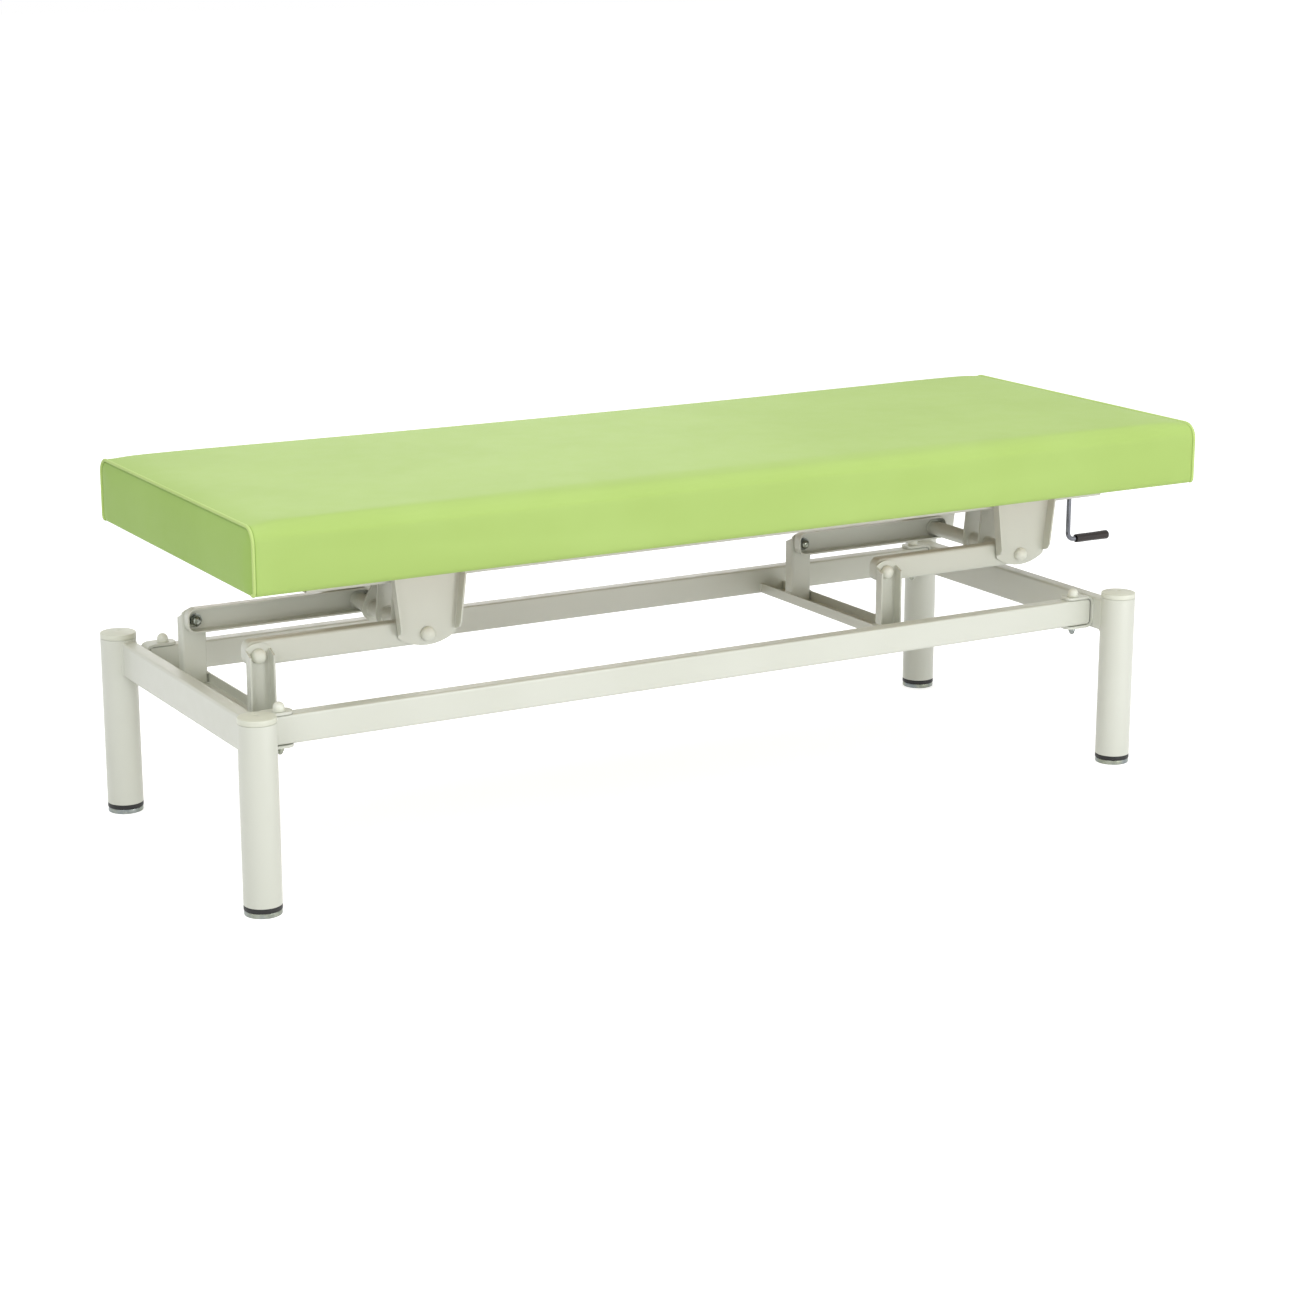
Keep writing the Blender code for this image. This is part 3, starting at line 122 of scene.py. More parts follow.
def ink(red, green, blue):
    """An sRGB colour, 0 to 255 a channel, as the linear colour that a shader takes."""
    shares = [channel / 255 for channel in (red, green, blue)]
    lit = [s / 12.92 if s <= 0.04045 else ((s + 0.055) / 1.055) ** 2.4 for s in shares]
    return (*lit, 1.0)


class Finish(Graph):
    """A surface finish: one Principled shader, and the nodes that vary it over the surface."""

    def __init__(self, name, **sockets):
        self.material = bpy.data.materials.new(name)
        self.material.use_nodes = True
        super().__init__(self.material.node_tree)
        self.shader = self.tree.nodes["Principled BSDF"]
        self.place = self.node("ShaderNodeTexCoord", output="Object")
        for socket, value in sockets.items():
            self.set(socket.replace("_", " ").title().replace("Ior", "IOR"), value)

    def set(self, socket, value):
        self.feed(self.shader.inputs[socket], value)

    def noise(self, scale, detail=2.0, place=None, rough=0.5):
        """Even noise from 0 to 1, in features of about 1 / scale metres."""
        values = {"Vector": place or self.place, "Scale": scale, "Detail": detail}
        return self.node("ShaderNodeTexNoise", {}, {**values, "Roughness": rough})

    def between(self, value, low, high, out_low, out_high):
        """The value from low to high, as a smooth step from out_low to out_high."""
        values = {"Value": value, "From Min": low, "From Max": high}
        values.update({"To Min": out_low, "To Max": out_high})
        return self.node("ShaderNodeMapRange", {"interpolation_type": "SMOOTHSTEP"}, values)

    def drift(self, noise, out_low=0, out_high=1, hold=0.3):
        """Noise as a slow change from out_low to out_high, held level near both."""
        return self.between(noise, hold, 1 - hold, out_low, out_high)

    def blend(self, share, first, second):
        """One colour going over into another."""
        values = {0: share, 6: first, 7: second}
        return self.node("ShaderNodeMix", {"data_type": "RGBA"}, values, output=2)

    def mottle(self, noise, dark, light, hold=0.3):
        """The base colour: two sRGB colours that go over into each other with the noise."""
        self.set("Base Color", self.blend(self.drift(noise, hold=hold), ink(*dark), ink(*light)))

    def relief(self, height, depth, strength=1.0):
        """A bumpy normal, depth metres from the lowest height to the highest."""
        values = {"Height": height, "Distance": depth, "Strength": strength}
        self.set("Normal", self.node("ShaderNodeBump", {}, values))


paint = Finish("ivory_powder_coat", ior=1.5, coat_weight=0.2, coat_roughness=0.22)
paint.mottle(paint.noise(3.0), (208, 210, 198), (212, 214, 203), hold=0.35)
paint.set("Roughness", paint.drift(paint.noise(40.0, 4.0), 0.34, 0.44))
paint.relief(paint.noise(700.0, 3.0), 0.00012, 0.5)


def linked(name, data):
    """A new object in the scene."""
    made = bpy.data.objects.new(name, data)
    bpy.context.scene.collection.objects.link(made)
    return made


def keep(name, mesh, finish, body, slot, *nodes):
    """The finished piece at the origin, riding on its body in place of its CAD nodes."""
    piece = linked(name, mesh)
    mesh.materials.clear()
    mesh.materials.append(finish.material)
    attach(piece, body)
    if nodes:
        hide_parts(*nodes)
    return piece


def eased(path, ease, steps=4):
    """The path with each inner corner cut back by up to ease metres and rounded."""
    most = 0.45  # of a side, so that two corners on one side don't meet
    points = [Vector(point) for point in path]
    made = [points[0]]
    for before, corner, after in zip(points, points[1:], points[2:]):
        back, on = before - corner, after - corner
        cut = min(ease, back.length * most, on.length * most)
        start, end = corner + back.normalized() * cut, corner + on.normalized() * cut
        for i in range(steps + 1):
            t = i / steps
            made.append(start * (1 - t) ** 2 + corner * (2 * t * (1 - t)) + end * t**2)
    return made + [points[-1]]


def finished(name, bm, sharp=None):
    """The bmesh as a mesh. Given an angle, it is smooth but for edges sharper than that."""
    bmesh.ops.recalc_face_normals(bm, faces=bm.faces)
    mesh = bpy.data.meshes.new(name)
    bm.to_mesh(mesh)
    bm.free()
    if sharp:
        mesh.shade_smooth()
        mesh.set_sharp_from_angle(angle=math.radians(sharp))
    return mesh


def skin(bm, rings, closed=False):
    """Faces from each ring of points to the next. A ring of one point closes the end there."""
    made = [[bm.verts.new(point) for point in ring] for ring in rings]
    sides = max(len(ring) for ring in made)
    for before, after in zip(made, made[1:] + made[:1] if closed else made[1:]):
        for i in range(sides):
            corners = ((before, i), (before, i + 1), (after, i + 1), (after, i))
            bm.faces.new(dict.fromkeys(ring[k % len(ring)] for ring, k in corners))
    return made


def turned(name, profile, sides=72, sharp=40.0):
    """A profile of (radius, height) points spun round Z; a radius of 0 closes the end."""
    closed = tuple(profile[0]) == tuple(profile[-1])
    turns = [2 * math.pi * i / sides for i in range(sides)]
    rings = []
    for radius, height in profile[:-1] if closed else profile:
        around = turns if radius else [0]
        rings.append([(radius * math.cos(a), radius * math.sin(a), height) for a in around])
    bm = bmesh.new()
    skin(bm, rings, closed)
    return finished(name, bm, sharp)


def at(mesh, place, turn=None):
    """The mesh, turned if need be, with its place put into its points."""
    mesh.transform(Matrix.Translation(place) @ (turn or Matrix.Identity(4)))
    return mesh


def middle(node):
    """The centre of a CAD node's box."""
    return sum(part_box(node), Vector()) / 2


def over(mesh, node):
    """The mesh moved onto the upright axis of a CAD node."""
    centre = middle(node)
    return at(mesh, (centre.x, centre.y, 0))


CORNERS = [(end, side) for end in ("head", "foot") for side in ("front", "back")]
TUBE_WALL = 0.002
TUBE_EDGE = 0.0005
for end, side in CORNERS:
    node = f"leg_{end}_{side}"
    low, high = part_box(node)
    outside = (high.x - low.x) / 2
    inside, waist = outside - TUBE_WALL, (low.z + high.z) / 2
    loop = [(inside, waist), (inside, high.z), (outside, high.z), (outside, low.z), (inside, low.z)]
    tube = over(turned("leg_tube", eased(loop + loop[:1], TUBE_EDGE)), node)
    keep(f"leg_tube_{end}_{side}", tube, paint, "base", "frame_paint", node)


# Leg caps: off-white mouldings pressed into the tube tops, with a rounded rim, a slight dome and
# the small round mark of the moulding gate in the middle.

plastic = Finish("off_white_plastic", ior=1.46, roughness=0.38)
plastic.mottle(plastic.noise(25.0), (214, 216, 200), (219, 221, 206), hold=0.35)
plastic.relief(plastic.noise(1800.0, 2.0), 0.00004, 0.4)

CAP_PLUG, CAP_CLEAR = 0.016, 0.0001
CAP_DOME, DOME_SHARES, DOME_FALL = 0.0025, (0.3, 0.55, 0.75), 1.3
CAP_ROUND, CAP_SKIRT, CAP_SHOULDER = 0.0032, 0.006, 0.86
PLUG_WALL, PLUG_EDGE = 0.0025, 0.001
GATE_RADIUS, GATE_DEEP = 0.0027, 0.0005
for end, side in CORNERS:
    node = f"leg_cap_{end}_{side}"
    low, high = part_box(node)
    radius = (high.x - low.x) / 2
    plug = radius - PLUG_WALL
    seat, rim, top = low.z + CAP_PLUG, high.z - CAP_DOME, high.z - CAP_CLEAR
    outline = [(0, top - GATE_DEEP), (GATE_RADIUS, top - GATE_DEEP), (GATE_RADIUS + GATE_DEEP, top)]
    outline += [(radius * share, top - CAP_DOME * DOME_FALL * share**2) for share in DOME_SHARES]
    edge = [(radius * CAP_SHOULDER, rim), (radius, rim), (radius, rim - CAP_SKIRT)]
    outline += eased(edge, CAP_ROUND)
    outline += [(radius, seat + TUBE_EDGE), (radius - TUBE_EDGE, seat), (plug, seat)]
    outline += [(plug, low.z + PLUG_EDGE), (plug - PLUG_EDGE, low.z), (0, low.z)]
    cap = over(turned("leg_cap", outline, sharp=50.0), node)
    keep(f"tube_cap_{end}_{side}", cap, plastic, "base", "white_plastic", node)


# Foot inserts: black plastic bushes driven into the tube ends, with a flange as wide as the tube.
# The levelling glide screws up into each.

black = Finish("black_plastic", ior=1.46, roughness=0.5)
black.mottle(black.noise(60.0), (24, 24, 25), (31, 31, 31))
black.relief(black.noise(1500.0), 0.00006, 0.5)

TOUCH = 0.0003
INSERT_EDGE = 0.0008
INSERT_BORE = 0.0063
for end, side in CORNERS:
    node = f"foot_insert_{end}_{side}"
    low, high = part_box(node)
    radius = (high.x - low.x) / 2
    plug = radius - TUBE_WALL - TOUCH
    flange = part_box(f"leg_{end}_{side}")[0].z - TOUCH
    loop = [(INSERT_BORE, flange), (INSERT_BORE, high.z), (plug, high.z), (plug, flange)]
    loop += [(radius, flange), (radius, low.z), (INSERT_BORE, low.z)]
    bush = over(turned("foot_bush", eased(loop + loop[:1], INSERT_EDGE)), node)
    keep(f"foot_bush_{end}_{side}", bush, black, "base", "black_plastic", node)


# Levelling glides: thick zinc-plated discs on a short stem, each on its own sliding body.
# The plate is dull and a little streaked, with the greenish tint of its passivation.

zinc = Finish("zinc_plate", metallic=1.0, ior=1.5)
zinc_tone = zinc.drift(zinc.noise(90.0, 3.0))
zinc_tint = zinc.drift(zinc.noise(35.0), hold=0.35)
zinc_cool = zinc.blend(zinc_tone, ink(128, 135, 136), ink(152, 157, 154))
zinc_warm = zinc.blend(zinc_tone, ink(131, 136, 124), ink(154, 158, 143))
zinc.set("Base Color", zinc.blend(zinc_tint, zinc_cool, zinc_warm))
zinc.set("Roughness", zinc.drift(zinc.noise(160.0, 4.0), 0.24, 0.38))
zinc.relief(zinc.noise(1200.0), 0.00003, 0.4)

STEM = 0.006
GLIDE_EDGE = 0.0014
for end, side in CORNERS:
    node = f"foot_glide_{end}_{side}"
    low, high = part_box(node)
    radius = (high.x - low.x) / 2
    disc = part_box(f"foot_insert_{end}_{side}")[0].z - TOUCH
    profile = [(0, high.z), (STEM, high.z), (STEM, disc), (radius, disc), (radius, 0), (0, 0)]
    glide = over(turned("glide", eased(profile, GLIDE_EDGE)), node)
    keep(f"levelling_glide_{end}_{side}", glide, zinc, f"glide_{end}_{side}", "zinc_plate", node)


# End and side rails: rectangular tube with rolled corners. The clevises welded to the end rails
# are bent from flat bar. Edges are softened as the powder rounds them.

def blended(copy):
    """The object's mesh with its modifiers worked out. The object is removed."""
    bpy.context.view_layer.update()
    graph = bpy.context.evaluated_depsgraph_get()
    made = bpy.data.meshes.new_from_object(copy.evaluated_get(graph))
    bpy.data.objects.remove(copy, do_unlink=True)
    return made


MERGE, FLAT_BEND = 0.00001, 1.0
SOFT_EDGE, SOFT_BEND = 0.0006, 50.0


def softened(node, edge=SOFT_EDGE):
    """A copy of a CAD node's mesh, merged and with its sharp edges rounded under even shading."""
    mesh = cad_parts[node].data.copy()
    bm = bmesh.new()
    bm.from_mesh(mesh)
    bmesh.ops.remove_doubles(bm, verts=bm.verts, dist=MERGE)
    flat = math.radians(FLAT_BEND)
    bmesh.ops.dissolve_limit(bm, angle_limit=flat, verts=bm.verts, edges=bm.edges)
    bm.to_mesh(mesh)
    bm.free()
    mesh.shade_smooth()
    copy = linked(node + "_copy", mesh)
    bevel = copy.modifiers.new("edge", "BEVEL")
    bevel.limit_method = "ANGLE"
    bevel.angle_limit = math.radians(SOFT_BEND)
    bevel.width = edge
    bevel.segments = 2
    bevel.use_clamp_overlap = True
    even = copy.modifiers.new("even", "WEIGHTED_NORMAL")
    even.weight = 60
    even.keep_sharp = True
    return blended(copy)


def painted(node, body):
    """The CAD node's own shape with softened edges, under the paint."""
    keep(f"painted_{node}", softened(node), paint, body, "frame_paint", node)


for node in ("end_rail_head", "end_rail_foot", "side_rail_front", "side_rail_back"):
    painted(node, "base")


# Rail bolts: zinc bolts down through each clevis, with a round cap on a thin washer over the
# head and a domed nut below. Their caps, and the pivots', are whiter than those of the legs.

bright_plastic = Finish("bolt_cap_plastic", ior=1.46, roughness=0.3)
bright_plastic.set("Base Color", ink(228, 230, 218))
bright_plastic.relief(bright_plastic.noise(1800.0, 2.0), 0.00003, 0.4)


def quarter(count):
    """The angles of a quarter turn in even steps."""
    return [math.pi / 2 * i / count for i in range(count + 1)]


def dome_cap(name, radius, tall, washer=None, skirt_share=0.25):
    """A bolt cap that stands on z = 0: a short skirt under a round dome, on its washer if any."""
    lip = TUBE_EDGE
    seat = washer[1] if washer else 0
    skirt = seat + tall * skirt_share
    dome = seat + tall - skirt
    crown = [(radius * math.sin(a), skirt + dome * math.cos(a)) for a in quarter(12)]
    foot = [(radius, seat + lip), (radius - lip, seat)]
    if washer:
        foot += [(washer[0] - lip, seat), (washer[0], seat - lip), (washer[0], lip)]
        foot.append((washer[0] - lip, 0))
    return turned(name, crown + foot + [(0, 0)], sides=48)


def joined(name, meshes, sharp=35.0):
    """Several meshes as one, smooth but for edges sharper than the given angle."""
    bm = bmesh.new()
    for mesh in meshes:
        bm.from_mesh(mesh)
        bpy.data.meshes.remove(mesh)
    return finished(name, bm, sharp)


CHAMFER_SHARE, CREST_SHARE = 1 / 16, 0.45


def hexagon(name, across, low, high):
    """A hexagon block between two heights, its edges chamfered as on a forged nut."""
    corner, chamfer = across / math.sqrt(3), across * CHAMFER_SHARE
    size = {"radius1": corner, "radius2": corner, "depth": high - low}
    place = Matrix.Translation((0, 0, (low + high) / 2))
    bm = bmesh.new()
    bmesh.ops.create_cone(bm, cap_ends=True, segments=6, matrix=place, **size)
    cut = {"affect": "EDGES", "clamp_overlap": True}
    ends = [edge for edge in bm.edges if abs(edge.verts[0].co.z - edge.verts[1].co.z) < chamfer]
    bmesh.ops.bevel(bm, geom=ends, offset=chamfer, segments=2, **cut)
    sides = [edge for edge in bm.edges if edge.calc_face_angle(0) > math.radians(SOFT_BEND)]
    bmesh.ops.bevel(bm, geom=sides, offset=chamfer / 3, segments=1, **cut)
    return finished(name, bm)


def nut_below(name, shank, depth, across, tall, dome, washer):
    """A shank from z = 0 down to depth, and there a washer, (radius, thickness), and a domed nut."""
    start, under = -depth - washer[1], -depth - tall
    crest, hidden = across * CREST_SHARE, under + dome / 4
    pin = [(0, 0), (shank, 0), (shank, under + TUBE_EDGE), (0, under + TUBE_EDGE)]
    ring = [(shank, -depth), (washer[0], -depth), (washer[0], start), (crest, start), (shank, start)]
    crown = [(crest * math.cos(a), under - dome * math.sin(a)) for a in quarter(10)[:-1]]
    return joined(name, [
        turned(name, pin, sides=32),
        turned(name, eased(ring + ring[:1], TUBE_EDGE), sides=48),
        hexagon(name, across, under, start),
        turned(name, [(0, hidden), (crest, hidden)] + crown + [(0, under - dome)], sides=48),
    ])


RAIL_CAP = (0.00975, 0.0135)
RAIL_CAP_WASHER = (0.01125, 0.0014)
RAIL_NUT = (0.0115, 0.0075, 0.006)
RAIL_NUT_WASHER = (0.0075, 0.0012)
RAIL_SHANK = 0.003
for end, side in CORNERS:
    node = f"rail_bolt_{end}_{side}"
    low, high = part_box(node)
    centre = middle(node)
    seat = high.z - RAIL_CAP[1] - RAIL_CAP_WASHER[1]
    place = (centre.x, centre.y, seat)
    cap = at(dome_cap("rail_bolt_cap", *RAIL_CAP, RAIL_CAP_WASHER), place)
    keep(f"rail_bolt_cap_{end}_{side}", cap, bright_plastic, "base", "white_plastic", node)
    depth = seat - low.z - RAIL_NUT[1] - RAIL_NUT[2]
    nut = nut_below("rail_bolt_nut", RAIL_SHANK, depth, *RAIL_NUT, RAIL_NUT_WASHER)
    keep(f"rail_bolt_nut_{end}_{side}", at(nut, place), zinc, "base", "zinc_plate", node)


# Ties and posts: folded sheet channels. The ties lie between the side rails, open upwards, and
# each holds the feet of two pressed posts.

for node in ("post_tie_head", "post_tie_foot", *(f"post_{end}_{side}" for end, side in CORNERS)):
    painted(node, "base")


# Pivot bolts: the lower ones hold the links to the posts and the upper ones to the hanging
# brackets. Each has an off-white cap outside, and the lower ones a washer and domed nut inside.

PIVOT_CAP = (0.01275, 0.012)
PIVOT_NUT = (0.019, 0.008, 0.005)
PIVOT_NUT_WASHER = (0.012, 0.0016)
PIVOT_SHANK, PIN_EDGE = 0.006, 0.001
PIVOT_REACH = 0.011
FACING = {"front": 1, "back": -1}
for end, side in CORNERS:
    turn = Matrix.Rotation(FACING[side] * math.pi / 2, 4, "X")
    for level, body in (("lower", "base"), ("upper", "top")):
        node = f"{level}_pivot_bolt_{end}_{side}"
        low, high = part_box(node)
        centre = middle(node)
        tip, tail = (low.y, high.y) if side == "front" else (high.y, low.y)
        seat = tip + FACING[side] * PIVOT_CAP[1]
        place = (centre.x, seat, centre.z)
        reach = abs(seat - tail)
        cap = at(dome_cap("pivot_cap", *PIVOT_CAP), place, turn)
        keep(f"{level}_pivot_cap_{end}_{side}", cap, bright_plastic, body, "white_plastic", node)
        if level == "lower":
            depth = reach - PIVOT_REACH
            shank = nut_below("pivot_nut", PIVOT_SHANK, depth, *PIVOT_NUT, PIVOT_NUT_WASHER)
        else:
            pin = [(0, 0), (PIVOT_SHANK, 0), (PIVOT_SHANK, -reach), (0, -reach)]
            shank = turned("pivot_pin", eased(pin, PIN_EDGE), sides=48)
        name = f"{level}_pivot_shank_{end}_{side}"
        keep(name, at(shank, place, turn), zinc, body, "zinc_plate", node)


# Lift links and torsion tubes: pressed channels that swing with the tube between them, and the
# levers welded to the tube.

for end in ("head", "foot"):
    for node in (f"link_{end}_front", f"link_{end}_back", f"torsion_shaft_{end}"):
        painted(node, f"links_{end}")


# Hanging brackets, beams and crossbars: the steel under the padded top, which rises with it.
# The two end crossbars carry the screw's bearing blocks.

CROSSBARS = ("crossbar_head", "crossbar_middle", "crossbar_foot")
hangers = [f"hanger_{end}_{side}" for end, side in CORNERS]
for node in (*hangers, "frame_beam_front", "frame_beam_back", *CROSSBARS):
    painted(node, "top")


# Weld beads: the fillets that hold the legs, clevises, ties, posts, levers and brackets, with a
# faint ripple left by the torch under the paint. One piece holds all the beads of a body.

class Growth(Graph):
    """A Geometry Nodes tree with named inputs, worked out on a mesh of plain edges."""

    KINDS = {float: "NodeSocketFloat", int: "NodeSocketInt"}

    def __init__(self, name, **sizes):
        super().__init__(bpy.data.node_groups.new(name, "GeometryNodeTree"))
        sockets = {"Paths": "NodeSocketGeometry"}
        sockets.update({size: self.KINDS[type(value)] for size, value in sizes.items()})
        sockets["Finish"] = "NodeSocketMaterial"
        self.sizes, self.named = sizes, {}
        for socket, kind in sockets.items():
            made = self.tree.interface.new_socket(socket, in_out="INPUT", socket_type=kind)
            self.named[socket] = made.identifier
        self.tree.interface.new_socket("Made", in_out="OUTPUT", socket_type="NodeSocketGeometry")
        self.given = self.node("NodeGroupInput")

    def size(self, name):
        return self.given.also(name)

    def done(self, shape):
        """Ends the tree: real geometry, smooth, in the finish that it is given."""
        shape = self.node("GeometryNodeSetShadeSmooth", {}, {"Geometry": shape})
        shape = self.node("GeometryNodeRealizeInstances", {}, {"Geometry": shape})
        values = {"Geometry": shape, "Material": self.size("Finish")}
        shape = self.node("GeometryNodeSetMaterial", {}, values)
        self.feed(self.tree.nodes.new("NodeGroupOutput").inputs[0], shape)

    def grow(self, paths, finish, **sizes):
        """The tree's mesh for a list of (points, closed) paths."""
        mesh = bpy.data.meshes.new(self.tree.name)
        points, edges = [], []
        for path, closed in paths:
            first, count = len(points), len(path)
            points += [tuple(point) for point in path]
            edges += [(first + i, first + i + 1) for i in range(count - 1)]
            if closed:
                edges.append((first + count - 1, first))
        mesh.from_pydata(points, edges, [])
        carrier = linked(self.tree.name, mesh)
        modifier = carrier.modifiers.new("grown", "NODES")
        modifier.node_group = self.tree
        for name, value in {**self.sizes, **sizes}.items():
            modifier[self.named[name]] = value
        modifier[self.named["Finish"]] = finish.material
        return blended(carrier)


bead = Growth("swept_bead", Radius=0.002, Step=0.0015, Ripple=0.0, Pitch=0.004, Sides=8)
line = bead.node("GeometryNodeMeshToCurve", {}, {"Mesh": bead.size("Paths")})
values = {"Curve": line, "Length": bead.size("Step")}
line = bead.node("GeometryNodeResampleCurve", {"mode": "LENGTH"}, values)
turns = bead.node("GeometryNodeSplineParameter").also("Length") / bead.size("Pitch")
swell = turns.maths("SINE", turns * (2 * math.pi)) * bead.size("Ripple") + 1
values = {"Resolution": bead.size("Sides"), "Radius": bead.size("Radius")}
ring = bead.node("GeometryNodeCurvePrimitiveCircle", {"mode": "RADIUS"}, values)
values = {"Curve": line, "Profile Curve": ring, "Scale": swell, "Fill Caps": True}
bead.done(bead.node("GeometryNodeCurveToMesh", {}, values))

RAIL_OFF = 0.0105
RAIL_HALF, RAIL_CORNER = 0.015, 0.005
RAIL_LOW, RAIL_HIGH = 0.254, 0.314
CLEVIS_HALF, CLEVIS_WELD = 0.016, 0.014
FLANGE_REACH, HANGER_SHARE = 0.0218, 0.34
SHAFT_TUBE, SHAFT_WELD_IN = 0.0145, 0.0016
LEVER_HALF = 0.00225
WELD_RADIUS, LINK_WELD_RADIUS, WELD_RIPPLE, WELD_SINK = 0.0022, 0.002, 0.1, 0.0004


def rounded(half_wide, low, high, corner):
    """A rectangle with round corners as (u, z) points, for a closed path."""
    right, bottom, top = half_wide - corner, low + corner, high - corner
    centres = ((right, top), (-right, top), (-right, bottom), (right, bottom))
    made = []
    for (u, z), start in zip(centres, (0, 90, 180, 270)):
        angles = [math.radians(start) + a for a in quarter(4)]
        made += [(u + corner * math.cos(a), z + corner * math.sin(a)) for a in angles]
    return made


def ring_round(centre, y, steps=32):
    """A ring round a torsion tube, whose axis runs along Y."""
    turns = [2 * math.pi * i / steps for i in range(steps)]
    spokes = [(SHAFT_TUBE * math.cos(a), SHAFT_TUBE * math.sin(a)) for a in turns]
    return [(centre.x + dx, y, centre.z + dz) for dx, dz in spokes]


def outer_y(node, side):
    """The y of a CAD node's face on the front or the back."""
    low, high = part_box(node)
    return low.y if side == "front" else high.y


base_welds, top_welds, link_welds = [], [], {"head": [], "foot": []}
for end, side in CORNERS:
    inward = 1 if end == "head" else -1
    outward = -FACING[side]
    leg = middle(f"leg_{end}_{side}")
    leg_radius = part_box(f"leg_{end}_{side}")[1].x - leg.x
    path = []
    for u, z in rounded(RAIL_HALF, RAIL_LOW, RAIL_HIGH, RAIL_CORNER):
        across = inward * RAIL_OFF + u
        path.append((leg.x + across, leg.y - outward * math.sqrt(leg_radius**2 - across**2), z))
    base_welds.append((path, True))

    face = leg.x + inward * (RAIL_OFF + RAIL_HALF)
    bolt, rail = middle(f"rail_bolt_{end}_{side}"), middle("side_rail_front")
    for y in (bolt.y - CLEVIS_HALF, bolt.y + CLEVIS_HALF):
        path = [(face, y, rail.z + dz) for dz in (-CLEVIS_WELD, 0, CLEVIS_WELD)]
        base_welds.append((path, False))

    post_low, post_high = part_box(f"post_{end}_{side}")
    tie_low, tie_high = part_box(f"post_tie_{end}")
    web = post_high.y if side == "front" else post_low.y
    for x in (post_low.x, post_high.x):
        path = [(x, web, tie_high.z), (x, web + outward * FLANGE_REACH, tie_high.z)]
        base_welds.append((path, False))
    rail_face = outer_y(f"post_tie_{end}", side)
    for x in (tie_low.x, tie_high.x):
        path = [(x, rail_face, tie_low.z + RAIL_CORNER), (x, rail_face, tie_high.z)]
        base_welds.append((path, False))

    hanger_low, hanger_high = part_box(f"hanger_{end}_{side}")
    reach = (hanger_high.x - hanger_low.x) * HANGER_SHARE
    pivot = middle(f"upper_pivot_bolt_{end}_{side}")
    beam = outer_y(f"frame_beam_{side}", side)
    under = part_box(f"frame_beam_{side}")[0].z
    path = [(pivot.x + dx, beam, under + WELD_SINK) for dx in (-reach, 0, reach)]
    top_welds.append((path, False))

    tube_end = outer_y(f"torsion_shaft_{end}", side) - outward * SHAFT_WELD_IN
    link_welds[end].append((ring_round(pivot, tube_end), True))

for bar in CROSSBARS:
    bar_low, bar_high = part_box(bar)
    for side in ("front", "back"):
        beam_low, beam_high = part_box(f"frame_beam_{side}")
        for x in (bar_low.x, bar_high.x):
            ends = (beam_low.y + RAIL_CORNER, beam_high.y - RAIL_CORNER)
            top_welds.append(([(x, y, beam_high.z) for y in ends], False))

LEVERS = {"head": (0.0685, 0.0115, -0.0495), "foot": (0.005, -0.043)}
for end, plates in LEVERS.items():
    pivot = middle(f"upper_pivot_bolt_{end}_front")
    for y in plates:
        for face in (y - LEVER_HALF, y + LEVER_HALF):
            link_welds[end].append((ring_round(pivot, face), True))

for body, welds in (("base", base_welds), ("top", top_welds)):
    mesh = bead.grow(welds, paint, Radius=WELD_RADIUS, Ripple=WELD_RIPPLE)
    keep(f"weld_beads_{body}", mesh, paint, body, "frame_paint")
for end, welds in link_welds.items():
    mesh = bead.grow(welds, paint, Radius=LINK_WELD_RADIUS, Ripple=WELD_RIPPLE)
    keep(f"weld_beads_links_{end}", mesh, paint, f"links_{end}", "frame_paint")


# Tie rod, drive nut and screw: bare turned steel with a film of grease, so darker and smoother
# than the plated parts. The screw has a 5 mm thread over the nut's travel.

steel = Finish("machined_steel", metallic=1.0, ior=1.5)
steel.mottle(steel.noise(60.0, 3.0), (132, 132, 131), (152, 151, 148))
steel.set("Roughness", steel.drift(steel.noise(300.0, 3.0), 0.25, 0.42))
steel.relief(steel.noise(1400.0), 0.00003, 0.5)

ROD_RADIUS, ROD_IN = 0.009, 0.011
EYE_RADIUS, EYE_BORE = 0.013, 0.0064
EYE_HEAD_HALF, EYE_FOOT_HALF = 0.02795, 0.02145
ALONG_X = Matrix.Rotation(math.pi / 2, 4, "Y")
ALONG_Y = Matrix.Rotation(-math.pi / 2, 4, "X")
low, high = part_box("tie_rod")
rod = middle("tie_rod")
start, stop = low.x + EYE_RADIUS, high.x - EYE_RADIUS
bar_low, bar_high = start + ROD_IN, stop - ROD_IN
bar = [(0, bar_low), (ROD_RADIUS, bar_low), (ROD_RADIUS, bar_high), (0, bar_high)]
pieces = [at(turned("tie_bar", bar, sides=40), (0, rod.y, rod.z), ALONG_X)]
for x, half in ((start, EYE_HEAD_HALF), (stop, EYE_FOOT_HALF)):
    loop = [(EYE_BORE, 0), (EYE_BORE, half), (EYE_RADIUS, half)]
    loop += [(EYE_RADIUS, -half), (EYE_BORE, -half), (EYE_BORE, 0)]
    eye = turned("tie_eye", eased(loop, PIN_EDGE), sides=48)
    pieces.append(at(eye, (x, rod.y, rod.z), ALONG_Y))
keep("steel_tie_rod", joined("tie_rod", pieces), steel, "tie_rod", "machined_steel", "tie_rod")

nut = softened("drive_nut")
keep("steel_drive_nut", nut, steel, "drive_nut", "machined_steel", "drive_nut")

